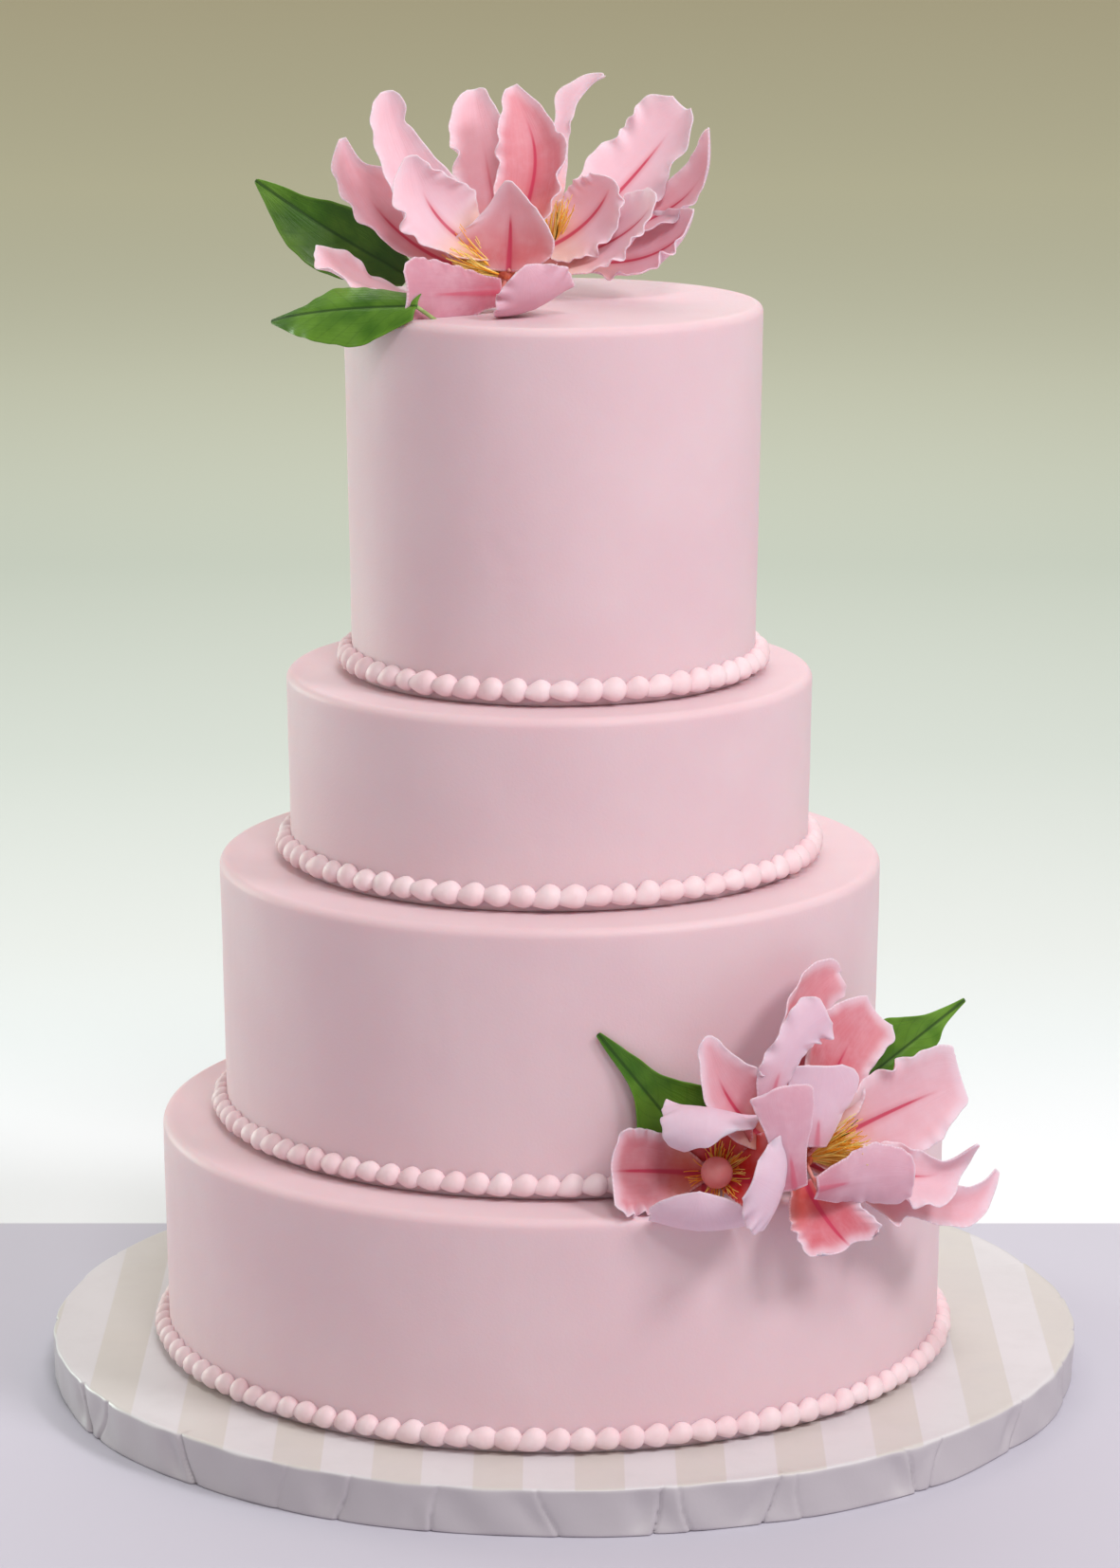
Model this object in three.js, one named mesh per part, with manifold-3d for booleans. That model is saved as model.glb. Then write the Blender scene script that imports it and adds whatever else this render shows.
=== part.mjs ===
// A four-tier wedding cake on its wrapped board, with a piped bead border round the foot of
// each tier and two groups of sugar flowers: one on the top tier, one on the lowest step.
// Millimetres, +Z up. The origin is the middle of the board's underside. The front of the
// cake faces -Y, with +X to its right.
import * as THREE from "three";
import { mergeVertices } from "three/addons/utils/BufferGeometryUtils.js";
import Module from "manifold-3d";

const wasm = await Module();
wasm.setup();

// ---- Driving dimensions ----

const GAP = 0.3; // between two pieces that touch
const LEAST_CUT = 1e-4; // cubic millimetres, under which two pieces only touch
const BOARD = { radius: 211, thickness: 19, softening: 1.5, sides: 48 };

const CAKE_Y = -12.8; // the tiers stand a little nearer the front of the board
const TIER_SIDES = 48;
const RIM_SOFTNESS = 3.5; // rounding of a tier's upper edge
const RIM_STEPS = 1;
const TAPER = 0.0165; // radius lost for each millimetre down from a tier's rim
// Lowest first: the rim's radius, the height of the top, the sideways place, and the number
// of piped beads round the foot, each about 10 mm across.
const TIERS = [
  { name: "tier_4_bottom", radius: 158.75, top: 112.2, x: -4.4, beads: 105, bead: 9.8 },
  { name: "tier_3", radius: 133.1, top: 218.9, x: -5.8, beads: 92, bead: 9.6 },
  { name: "tier_2", radius: 105.3, top: 294.6, x: -5.8, beads: 68, bead: 10.2 },
  { name: "tier_1_top", radius: 83, top: 441, x: -4.3, beads: 54, bead: 10.2 },
];
// A bead's outline across the border, out from the tier and up, in bead sizes: first at the
// belly of a bead, then at the neck between two beads.
const BEAD_BELLY = [[0, 0], [0.94, 0.08], [0.88, 0.8], [0, 0.95]];
const BEAD_NECK = [[0, 0.06], [0.42, 0.12], [0.4, 0.5], [0, 0.56]];

// Each bloom stands at a point, faces an azimuth (0 is the front, 90 the right) and tilts up
// from level. A petal is set out by its turn about that axis, 0 being the bloom's upper side
// and 90 its right. It leaves the heart at a radius (start), a height along the axis (rise)
// and a sideways shift (slide). lean is its angle from the axis at the foot, curl the angle
// gained by the tip, late how far out the curl sets in, and sway its turn sideways by the
// tip. roll and twist turn it about its own midrib. width is the widest, foot the share of
// it at the foot, widest how far along it lies, and blunt how square the tip is. cup is how
// far the edges bend in, and frill the height of the waves along them. A petal that folds
// forward has a facing and tilt of its own and an offset from the heart, which a wire spans.
// steps is how many rows of faces it has from foot to tip.
const PETAL = {
  offset: [0, 0, 0], start: 4, rise: 0, slide: 0, lean: 60, curl: 0, late: 1.6, sway: 0,
  roll: 0, twist: 0, length: 60, width: 38, foot: 0.14, widest: 0.58, blunt: 1.9, cup: 50,
  frill: 1.2, waves: 3, phase: 0, steps: 6,
};
const PETAL_THICKNESS = 1.1;
const PETAL_STRIPS = 4; // across a petal
const TIP_SHARE = 0.06; // a petal's width at the tip, so that the tip has an edge
const WIDENING = 1.15; // the power with which a petal widens from its foot
const SWAY_ONSET = 1.3; // the power with which its sway sets in
const EDGE_SHIFT = 1.9; // radians between the waves of its left edge and its right one
const CALM_FOOT = 3; // the waves reach full height a third of the way along
const BLOOMS = {
  top_left: {
    at: [-22.5, -36, 454], facing: -15, tilt: 55,
    petals: [
      {
        turn: 284, lean: 88, curl: -45, sway: 48, length: 91, width: 36, widest: 0.62, cup: 50,
        rise: -3,
      },
      {
        turn: 299, lean: 68, curl: -35, sway: 40, length: 85, width: 36, widest: 0.5, blunt: 1.9,
        cup: 45,
      },
      {
        turn: 341, lean: 78, curl: -15, length: 88, width: 36, widest: 0.6, blunt: 2.8, cup: 50,
        rise: -3,
      },
      {
        turn: 1, lean: 70, curl: -15, sway: -20, length: 78, width: 38, widest: 0.6, blunt: 2.4,
        cup: 60,
      },
      {
        turn: 267, lean: 60, curl: -50, sway: 75, length: 62, width: 38, widest: 0.5, cupLeft: 90,
        cupRight: 35, rise: 1,
      },
      {
        turn: 0, lean: 51, curl: -45, length: 35, width: 41, widest: 0.38, blunt: 1.7, cup: 35,
        roll: 12, rise: 1, steps: 4,
      },
      {
        offset: [-2, -12, -5], facing: 205, tilt: 25, turn: 88, lean: 92, curl: 12, length: 41,
        width: 26, foot: 0.4, widest: 0.8, blunt: 6, cup: 20, start: 0, steps: 4,
      },
      {
        turn: 142, lean: 104, curl: -160, late: 1.5, length: 49, width: 34, widest: 0.65, blunt: 3,
        cup: 20,
      },
      {
        turn: 249, lean: 94, curl: -50, sway: 50, length: 76, width: 30, widest: 0.6, cup: 10,
        roll: -75, frill: 2.5, waves: 4, rise: -4,
      },
    ],
  },
  top_right: {
    at: [-4.9, 10, 458.7], facing: 20, tilt: 58,
    petals: [
      {
        turn: 20, lean: 38, curl: 15, sway: 30, length: 74, width: 20, widest: 0.5, blunt: 1.6,
        cup: 60, twist: 80,
      },
      {
        turn: 53, lean: 68, curl: -32, length: 81, width: 46, widest: 0.65, blunt: 3, cup: 35,
        rise: -2,
      },
      {
        turn: 90, lean: 60, curl: -57, length: 86, width: 34, widest: 0.5, blunt: 1.9, cup: 55,
        rise: -2,
      },
      {
        turn: 105, lean: 92, curl: -98, length: 66, width: 36, widest: 0.55, cup: 40, frill: 1.5,
        rise: -3,
      },
      {
        turn: 110, slide: 4, lean: 60, curl: -55, length: 50, width: 34, widest: 0.55, blunt: 2.6,
        cup: 40, frill: 1.5,
      },
      {
        turn: 88, slide: -4, lean: 55, curl: -60, sway: -10, length: 36, width: 38, widest: 0.55,
        blunt: 2.6, cup: 40, frill: 1.5, steps: 4,
      },
    ],
  },
  step_left: {
    at: [58.5, -150, 124.1], facing: -5, tilt: 22,
    petals: [
      {
        turn: 274, lean: 79, curl: -30, sway: -14, length: 37, width: 38, widest: 0.75, blunt: 3.5,
        cup: 30, frill: 2, waves: 4, steps: 4,
      },
      {
        turn: 8, slide: -5, lean: 66, curl: -190, late: 1.8, length: 52, width: 38, widest: 0.7,
        blunt: 4, cup: 12,
      },
      {
        turn: 102, lean: 69, curl: -150, late: 1.8, length: 53, width: 38, widest: 0.7, blunt: 4,
        cup: 25, frill: 2, waves: 4,
      },
      {
        turn: 181, slide: 5, lean: 98, curl: -185, late: 1.1, length: 48, width: 38, widest: 0.65,
        blunt: 4, cup: 18,
      },
    ],
  },
  step_right: {
    at: [91.7, -142, 128.1], facing: 56, tilt: 20,
    petals: [
      {
        offset: [-11, -6, 6], facing: 15, tilt: 5, turn: 308, lean: 80, curl: 10, sway: 48,
        length: 56, width: 30, widest: 0.5, blunt: 1.9, cup: 40, start: 0,
      },
      {
        turn: 359, lean: 72, curl: 15, sway: 84, length: 83, width: 42, widest: 0.55, blunt: 1.9,
        cup: 40, rise: -4,
      },
      {
        offset: [-12, -18, 26], facing: 200, tilt: 0, turn: 350, lean: 84, sway: -45, length: 45,
        width: 20, foot: 0.6, widest: 0.55, blunt: 3, cup: 30, frill: 2, start: 0, steps: 4,
      },
      {
        turn: 32, lean: 75, sway: 34, length: 67, width: 40, widest: 0.65, blunt: 3.5, cup: 40,
        rise: 3,
      },
      {
        offset: [-5, -30, -3], facing: 200, tilt: 10, turn: 10, lean: 85, curl: -10, length: 41,
        width: 26, foot: 0.55, widest: 0.75, blunt: 5, cup: 15, start: 0, steps: 4,
      },
      {
        offset: [4, -11, 8], facing: 205, tilt: -5, turn: 352, lean: 86, curl: 14, length: 31,
        width: 27, foot: 0.35, widest: 0.8, blunt: 6, cup: 18, start: 0, steps: 4,
      },
      {
        turn: 79, lean: 58, sway: 9, length: 74, width: 42, widest: 0.74, blunt: 5, cup: 22,
        rise: -2,
      },
      {
        offset: [4, -24, -3], facing: 205, tilt: 10, turn: 270, lean: 80, curl: 20, length: 42,
        width: 24, foot: 0.5, widest: 0.65, blunt: 3, cup: 30, start: 0, steps: 4,
      },
      {
        turn: 118, lean: 66, curl: -30, sway: -40, length: 68, width: 32, widest: 0.5, cup: 50,
        frill: 1.5, rise: 3,
      },
      {
        turn: 126, lean: 73, curl: -30, sway: -40, length: 90, width: 26, widest: 0.5, cup: 45,
        rise: -2,
      },
      {
        offset: [0, -8, -7], facing: 20, tilt: 15, turn: 150, lean: 82, curl: 8, length: 30,
        width: 34, foot: 0.4, widest: 0.75, blunt: 4, cup: 25, frill: 2, start: 0, steps: 4,
      },
    ],
  },
};
// A leaf is one blade, set out as a petal is, on a wire to the point in the cake that holds it.
const LEAVES = {
  top_leaf_1: {
    at: [-62, 5, 449], facing: -15, tilt: 20, held: [-56, 4, 439],
    blade: {
      turn: 296, lean: 84, sway: 6, length: 74, width: 32, foot: 0.2,
      widest: 0.45, blunt: 1.5, cup: 25, frill: 0.8, start: 0,
    },
  },
  top_leaf_2: {
    at: [-57, -71, 447], facing: -38, tilt: 42, held: [-50, -65, 439],
    blade: {
      turn: 259, lean: 85, curl: 16, length: 68, width: 36, foot: 0.3,
      widest: 0.4, blunt: 1.5, cup: -20, frill: 0.8, start: 0,
    },
  },
  step_leaf_1: {
    at: [50, -142, 131], facing: 12, tilt: 8, held: [50, -131, 128],
    blade: {
      turn: 322, lean: 88, length: 60, width: 34, foot: 0.4,
      widest: 0.42, blunt: 1.3, cup: 20, frill: 0.8, start: 0,
    },
  },
  step_leaf_2: {
    at: [117, -98, 147], facing: 30, tilt: 8, held: [101, -86, 142],
    blade: {
      turn: 59, lean: 82, length: 52, width: 28, foot: 0.6,
      widest: 0.4, blunt: 1.3, cup: 15, frill: 0.6, start: 0,
    },
  },
};
const LEAF_THICKNESS = 1.2;
const WIRE_RADIUS = 0.8; // of the wires that hold the leaves and the folded petals

// The heart of a bloom: a plug on a stem that reaches back to the cake, with thin filaments
// that fan out of it. reach is the stem's length. turns are the first and the last
// filament's, and the filaments lean from the axis by the two leans in turn.
const PLUG_RADIUS = 3.6;
const STEM_RADIUS = 2.4;
const FILAMENT_RADIUS = 0.8;
const FILAMENT_START = 1.5; // out from the axis
const HEARTS = {
  top_left: { reach: 16, filaments: 6, turns: [225, 345], leans: [30, 58], length: 21 },
  top_right: { reach: 21, filaments: 5, turns: [-40, 70], leans: [10, 30], length: 26 },
  step_left: { reach: 19, filaments: 9, turns: [0, 320], leans: [60, 64], length: 15 },
  step_right: { reach: 26, filaments: 6, turns: [20, 150], leans: [8, 34], length: 24 },
};
const PISTIL = { bloom: "step_left", radius: 6.2, rise: 8, clearance: 0.5 };

// ---- Finishes ----

const icing = new THREE.MeshStandardMaterial({ color: 0xe8c3c8, roughness: 0.55 });
const beadIcing = new THREE.MeshStandardMaterial({ color: 0xe6c6ca, roughness: 0.5 });
const wrapped = new THREE.MeshStandardMaterial({ color: 0xe6e2dc, roughness: 0.45 });
const petalPaste = new THREE.MeshStandardMaterial({ color: 0xf0b3bd, roughness: 0.6 });
const leafPaste = new THREE.MeshStandardMaterial({ color: 0x3f7a23, roughness: 0.5 });
const stamenPaste = new THREE.MeshStandardMaterial({ color: 0xf0a324, roughness: 0.6 });
const pistilPaste = new THREE.MeshStandardMaterial({ color: 0xd98080, roughness: 0.4 });

const cake = new THREE.Group();

function place(name, geometry, material) {
  const mesh = new THREE.Mesh(geometry, material);
  mesh.name = name;
  cake.add(mesh);
  return mesh;
}

// ---- Solids ----

// A closed geometry as a solid that can be cut and joined.
function solidOf(geometry) {
  const bare = geometry.clone();
  bare.deleteAttribute("normal");
  bare.deleteAttribute("uv");
  const merged = mergeVertices(bare, 1e-4);
  return new wasm.Manifold(
    new wasm.Mesh({
      numProp: 3,
      vertProperties: Float32Array.from(merged.attributes.position.array),
      triVerts: Uint32Array.from(merged.index.array),
    }),
  );
}

function geometryOf(solid) {
  const made = solid.getMesh();
  const geometry = new THREE.BufferGeometry();
  geometry.setAttribute("position", new THREE.BufferAttribute(made.vertProperties, 3));
  geometry.setIndex(new THREE.BufferAttribute(made.triVerts, 1));
  geometry.computeVertexNormals();
  return geometry;
}

function largestBody(solid) {
  const bodies = solid.decompose();
  return bodies.reduce((best, body) => (body.volume() > best.volume() ? body : best));
}

// The solid less every neighbour that it meets, kept as its one largest body.
function clearOf(solid, neighbours) {
  let left = solid;
  for (const other of neighbours) {
    if (left.intersect(other).volume() > LEAST_CUT) left = largestBody(left.subtract(other));
  }
  return left;
}

function lathe(profile, sides) {
  const points = profile.map(([r, z]) => new THREE.Vector2(r, z));
  return new THREE.LatheGeometry(points, sides).rotateX(Math.PI / 2);
}

// ---- Board ----

function boardGeometry() {
  const { radius, thickness, softening, sides } = BOARD;
  const profile = [
    [0, 0],
    [radius - softening, 0],
    [radius, softening],
    [radius, thickness - softening],
    [radius - softening, thickness],
    [0, thickness],
  ];
  return lathe(profile, sides);
}

place("board", boardGeometry(), wrapped);

// ---- Tiers and their bead borders ----

function tierProfile(tier, foot, grown) {
  const footRadius = tier.radius - TAPER * (tier.top - foot);
  const profile = [[0, foot - grown], [footRadius + grown, foot - grown]];
  for (let i = 0; i <= RIM_STEPS; i++) {
    const turn = (Math.PI / 2) * (i / RIM_STEPS);
    const inset = RIM_SOFTNESS * (1 - Math.cos(turn));
    const drop = RIM_SOFTNESS * (1 - Math.sin(turn));
    profile.push([tier.radius - inset + grown, tier.top - drop + grown]);
  }
  profile.push([0, tier.top + grown]);
  return profile;
}

// A ring of touching beads: a belly section at each bead and a neck section between two.
function beadRing(radius, size, count) {
  const points = [];
  for (let i = 0; i < 2 * count; i++) {
    const turn = (Math.PI * i) / count;
    const section = i % 2 ? BEAD_NECK : BEAD_BELLY;
    for (const [out, up] of section) {
      const r = radius + out * size;
      points.push(r * Math.cos(turn), r * Math.sin(turn), up * size);
    }
  }
  const corners = BEAD_BELLY.length;
  const faces = [];
  for (let i = 0; i < 2 * count; i++) {
    const next = (i + 1) % (2 * count);
    for (let k = 0; k < corners; k++) {
      const a = i * corners + k;
      const b = i * corners + ((k + 1) % corners);
      const c = next * corners + k;
      const d = next * corners + ((k + 1) % corners);
      faces.push(a, c, d, a, d, b);
    }
  }
  return indexed(points, faces);
}

function indexed(points, faces) {
  const geometry = new THREE.BufferGeometry();
  geometry.setAttribute("position", new THREE.Float32BufferAttribute(points, 3));
  geometry.setIndex(faces);
  geometry.computeVertexNormals();
  return geometry;
}

const cakeBody = []; // the tiers and borders, grown by the gap, which the flowers stay clear of
let ledge = BOARD.thickness;
for (const tier of TIERS) {
  const foot = ledge + GAP;
  const footRadius = tier.radius - TAPER * (tier.top - foot);
  const mesh = place(tier.name, lathe(tierProfile(tier, foot, 0), TIER_SIDES), icing);
  mesh.position.set(tier.x, CAKE_Y, 0);
  const ring = beadRing(footRadius + GAP, tier.bead, tier.beads);
  const border = place(tier.name.replace("tier", "bead_border"), ring, beadIcing);
  border.position.set(tier.x, CAKE_Y, foot);

  const grownTier = lathe(tierProfile(tier, foot, GAP), TIER_SIDES);
  const outer = footRadius + tier.bead + 2 * GAP;
  const upper = foot + tier.bead + GAP;
  const section = [[footRadius, foot], [outer, foot], [outer, upper], [footRadius, upper]];
  const grownBorder = lathe([...section, section[0]], TIER_SIDES);
  for (const grown of [grownTier, grownBorder]) {
    cakeBody.push(solidOf(grown.translate(tier.x, CAKE_Y, 0)));
  }
  ledge = tier.top;
}

// ---- Petals ----

const radians = THREE.MathUtils.degToRad;

// The three directions of a bloom: out along its axis, to its upper side, and to its right.
function bloomFrame(facing, tilt) {
  const level = new THREE.Vector3(Math.sin(radians(facing)), -Math.cos(radians(facing)), 0);
  const up = new THREE.Vector3(0, 0, 1);
  const c = Math.cos(radians(tilt));
  const s = Math.sin(radians(tilt));
  const axis = level.clone().multiplyScalar(c).addScaledVector(up, s);
  const upper = level.clone().multiplyScalar(-s).addScaledVector(up, c);
  const side = upper.clone().cross(axis);
  return { axis, upper, side };
}

function petalWidth(p, s) {
  if (s < p.widest) {
    return p.foot + (1 - p.foot) * Math.sin((Math.PI / 2) * (s / p.widest)) ** WIDENING;
  }
  return Math.max(1 - ((s - p.widest) / (1 - p.widest)) ** p.blunt, TIP_SHARE);
}

// The petal's middle surface: rows of points from foot to tip, each row from the left edge
// to the right one, with the directions across and inward for every row.
function petalRows(bloom, petal) {
  const p = { ...PETAL, ...petal };
  const frame = bloomFrame(p.facing ?? bloom.facing, p.tilt ?? bloom.tilt);
  const around = (turn) =>
    frame.upper.clone().multiplyScalar(Math.cos(turn)).addScaledVector(frame.side, Math.sin(turn));
  const turn0 = radians(p.turn);
  const at = new THREE.Vector3(...bloom.at).add(new THREE.Vector3(...p.offset));
  at.addScaledVector(frame.axis, p.rise);
  at.addScaledVector(around(turn0), p.start);
  at.addScaledVector(around(turn0 + Math.PI / 2), p.slide);

  const substeps = 8;
  const total = p.steps * substeps;
  const direction = (s) => {
    const lean = radians(p.lean + p.curl * s ** p.late);
    const out = around(turn0 + radians(p.sway) * s ** SWAY_ONSET);
    return {
      along: frame.axis.clone().multiplyScalar(Math.cos(lean)).addScaledVector(out, Math.sin(lean)),
      inward: frame.axis.clone().multiplyScalar(Math.sin(lean)).addScaledVector(out, -Math.cos(lean)),
    };
  };
  const rows = [];
  for (let i = 0; i <= total; i++) {
    const s = i / total;
    const { along, inward } = direction(s);
    if (i > 0) at.addScaledVector(direction((i - 0.5) / total).along, p.length / total);
    if (i % substeps) continue;
    const across = along.clone().cross(inward);
    const roll = radians(p.roll + p.twist * s);
    const b = across.clone().multiplyScalar(Math.cos(roll)).addScaledVector(inward, Math.sin(roll));
    const n = inward.clone().multiplyScalar(Math.cos(roll)).addScaledVector(across, -Math.sin(roll));
    rows.push({ s, at: at.clone(), along, across: b, inward: n, share: petalWidth(p, s) });
  }
  return { p, rows };
}

// A petal as a closed sheet of even thickness. grown makes it thicker and larger all round,
// for cutting its neighbours clear of it.
function petalSolid(bloom, petal, thickness, grown = 0) {
  const { p, rows } = petalRows(bloom, petal);
  const last = rows.length - 1;
  const middle = [];
  for (const row of rows) {
    const half = (p.width / 2) * row.share + grown;
    const end = row === rows[0] ? -grown : row === rows[last] ? grown : 0;
    const line = [];
    for (let j = 0; j <= PETAL_STRIPS; j++) {
      const t = (2 * j) / PETAL_STRIPS - 1;
      const a = Math.abs(t);
      const cup = radians((t < 0 ? p.cupLeft : p.cupRight) ?? p.cup);
      const over = (Math.sin(cup * a) / cup) * half * Math.sign(t);
      const lift = ((1 - Math.cos(cup * a)) / cup) * half;
      const wave = 2 * Math.PI * p.waves * row.s + p.phase + (t < 0 ? EDGE_SHIFT : 0);
      const grow = Math.min(1, 2 * row.share) * Math.min(1, CALM_FOOT * row.s);
      const frill = p.frill * a ** 3 * Math.sin(wave) * grow;
      line.push(
        row.at
          .clone()
          .addScaledVector(row.along, end)
          .addScaledVector(row.across, over)
          .addScaledVector(row.inward, lift + frill),
      );
    }
    middle.push(line);
  }
  return sheetSolid(middle, thickness + 2 * grown);
}

// A closed sheet round a grid of points, both faces split into triangles alike.
function sheetSolid(middle, thickness) {
  const last = middle.length - 1;
  const wide = middle[0].length;
  const points = [];
  for (const face of [0.5, -0.5]) {
    middle.forEach((line, i) =>
      line.forEach((point, j) => {
        const before = middle[Math.max(i - 1, 0)][j];
        const after = middle[Math.min(i + 1, last)][j];
        const left = line[Math.max(j - 1, 0)];
        const right = line[Math.min(j + 1, wide - 1)];
        const u = after.clone().sub(before);
        const v = right.clone().sub(left);
        const normal = v.cross(u).normalize();
        points.push(...point.clone().addScaledVector(normal, face * thickness));
      }),
    );
  }
  const faces = [];
  const count = (last + 1) * wide;
  for (let i = 0; i < last; i++) {
    for (let j = 0; j < wide - 1; j++) {
      const a = i * wide + j;
      const [b, c, d] = [a + 1, a + wide, a + wide + 1];
      faces.push(a, b, d, a, d, c);
      faces.push(count + a, count + d, count + b, count + a, count + c, count + d);
    }
  }
  const rim = [];
  for (let j = 0; j < wide - 1; j++) rim.push(j);
  for (let i = 0; i < last; i++) rim.push(i * wide + wide - 1);
  for (let j = wide - 1; j > 0; j--) rim.push(last * wide + j);
  for (let i = last; i > 0; i--) rim.push(i * wide);
  rim.forEach((a, k) => {
    const b = rim[(k + 1) % rim.length];
    faces.push(a, count + a, count + b, a, count + b, b);
  });
  return solidOf(indexed(points, faces));
}

function wireSolid(from, to, grown) {
  const way = to.clone().sub(from);
  const up = new THREE.Vector3(0, 1, 0);
  const wire = new THREE.CylinderGeometry(WIRE_RADIUS + grown, WIRE_RADIUS + grown, way.length(), 4);
  wire.applyQuaternion(new THREE.Quaternion().setFromUnitVectors(up, way.clone().normalize()));
  return solidOf(wire.translate(...from.clone().lerp(to, 0.5)));
}

// A leaf with the wire to where it is held, or a petal, which has a wire where it is folded:
// that one ends short of the middle of the bloom, at the plug.
function wiredSheet(bloom, sheet, thickness, grown = 0) {
  const solid = petalSolid(bloom, sheet, thickness, grown);
  if (!sheet.offset && !bloom.held) return solid;
  const foot = petalRows(bloom, sheet).rows[0].at;
  const end = new THREE.Vector3(...(bloom.held ?? bloom.at));
  if (!bloom.held) end.addScaledVector(foot.clone().sub(end).normalize(), PLUG_RADIUS + 1);
  return solid.add(wireSolid(foot, end, grown));
}

// Every petal and leaf is cut clear of the cake and of the pieces placed before it.
const placed = [];

function placeSheet(name, bloom, sheet, thickness, material, neighbours) {
  const solid = clearOf(wiredSheet(bloom, sheet, thickness), [...cakeBody, ...neighbours, ...placed]);
  placed.push(wiredSheet(bloom, sheet, thickness, GAP));
  return place(name, geometryOf(solid), material);
}

// ---- Flowers ----

function pistilGeometry(grown) {
  const bloom = BLOOMS[PISTIL.bloom];
  const { axis } = bloomFrame(bloom.facing, bloom.tilt);
  const middle = new THREE.Vector3(...bloom.at).addScaledVector(axis, PISTIL.rise);
  return new THREE.IcosahedronGeometry(PISTIL.radius + grown, 1).translate(...middle);
}

place(PISTIL.bloom + "_pistil", pistilGeometry(0), pistilPaste);
const grownPistil = solidOf(pistilGeometry(PISTIL.clearance));

// A plug, its stem and its filaments, joined into one solid.
function heartSolid(bloom, heart) {
  const { axis, upper, side } = bloomFrame(bloom.facing, bloom.tilt);
  const at = new THREE.Vector3(...bloom.at);
  const turned = (geometry, direction, from) => {
    const up = new THREE.Vector3(0, 0, 1);
    const rotation = new THREE.Quaternion().setFromUnitVectors(up, direction);
    return solidOf(geometry.applyQuaternion(rotation).translate(...from));
  };
  const profile = [
    [0, -heart.reach],
    [STEM_RADIUS, -heart.reach],
    [PLUG_RADIUS, 0],
    [0, PLUG_RADIUS],
  ];
  let solid = turned(lathe(profile, 6), axis, at);
  for (let i = 0; i < heart.filaments; i++) {
    const share = i / (heart.filaments - 1);
    const turn = radians(THREE.MathUtils.lerp(...heart.turns, share));
    const lean = radians(heart.leans[i % 2]);
    const out = upper.clone().multiplyScalar(Math.cos(turn)).addScaledVector(side, Math.sin(turn));
    const way = axis.clone().multiplyScalar(Math.cos(lean)).addScaledVector(out, Math.sin(lean));
    const cone = new THREE.ConeGeometry(FILAMENT_RADIUS, heart.length, 3);
    cone.rotateX(Math.PI / 2).translate(0, 0, heart.length / 2);
    solid = solid.add(turned(cone, way, at.clone().addScaledVector(out, FILAMENT_START)));
  }
  return solid;
}

for (const [name, bloom] of Object.entries(BLOOMS)) {
  const near = name === PISTIL.bloom ? [grownPistil] : [];
  bloom.petals.forEach((petal, i) => {
    placeSheet(name + "_petal_" + (i + 1), bloom, petal, PETAL_THICKNESS, petalPaste, near);
  });
}
for (const [name, leaf] of Object.entries(LEAVES)) {
  placeSheet(name, leaf, leaf.blade, LEAF_THICKNESS, leafPaste, []);
}
for (const [name, heart] of Object.entries(HEARTS)) {
  const solid = clearOf(heartSolid(BLOOMS[name], heart), [...cakeBody, grownPistil, ...placed]);
  place(name + "_stamens", geometryOf(solid), stamenPaste);
}

export default cake;
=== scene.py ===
"""A four-tier wedding cake with sugar flowers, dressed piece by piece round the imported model.

Sizes are in millimetres, as in the cake's own plan, and every mesh is written in metres. The
origin is the middle of the board's underside, +Z is up, and the cake's front faces -Y.
"""

import bpy
import numpy as np
from mathutils import Matrix, Vector


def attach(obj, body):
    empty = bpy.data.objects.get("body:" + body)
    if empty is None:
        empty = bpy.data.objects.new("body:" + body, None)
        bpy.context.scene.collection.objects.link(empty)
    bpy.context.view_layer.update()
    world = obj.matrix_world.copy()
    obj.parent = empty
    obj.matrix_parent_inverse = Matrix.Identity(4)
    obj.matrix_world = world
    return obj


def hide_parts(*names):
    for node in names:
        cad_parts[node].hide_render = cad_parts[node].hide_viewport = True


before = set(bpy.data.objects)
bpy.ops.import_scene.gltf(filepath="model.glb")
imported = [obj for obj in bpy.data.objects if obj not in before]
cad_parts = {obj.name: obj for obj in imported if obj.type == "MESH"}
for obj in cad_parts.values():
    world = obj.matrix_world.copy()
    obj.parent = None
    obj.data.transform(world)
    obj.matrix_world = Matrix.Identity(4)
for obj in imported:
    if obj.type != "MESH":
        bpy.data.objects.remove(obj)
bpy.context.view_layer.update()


# ==== The board ====
# A round cake drum of thick fibreboard, wrapped in a pale striped paper. The paper is drawn
# down over the edge and tucked in pleats, so the side is creased and the rim a little uneven.

MM = 0.001

BOARD_RADIUS = 211.0
BOARD_THICKNESS = 19.0
BOARD_SIDES = 1700  # enough for the narrowest crease
SIDE_HEIGHTS = [0.0, 0.35, 1.0, *np.linspace(2.2, 16.2, 11), 17.4, 18.2, 18.75, 19.0]
TOP_RINGS = (207.0, 200.0, 188.0, 160.0, 120.0)  # radii, from the rim in
BOARD_RIM = 1.6  # how far the paper rounds over the drum's edge
PAPER_SLACK = 0.6  # how far the paper's waves lie inside the drum's full radius
FOOT_DRAW = 0.7  # how far it is drawn in at the foot
WAVE_DEPTH = 0.7  # of the fine waves half way up
TUCK = 0.5  # how far the lower edge is tucked in, over TUCK_HEIGHT
TUCK_HEIGHT = 0.8
STRIPE_PAIR = 38.4  # a cream stripe and a white one together
STRIPE_SHIFT = 73.3
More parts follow.
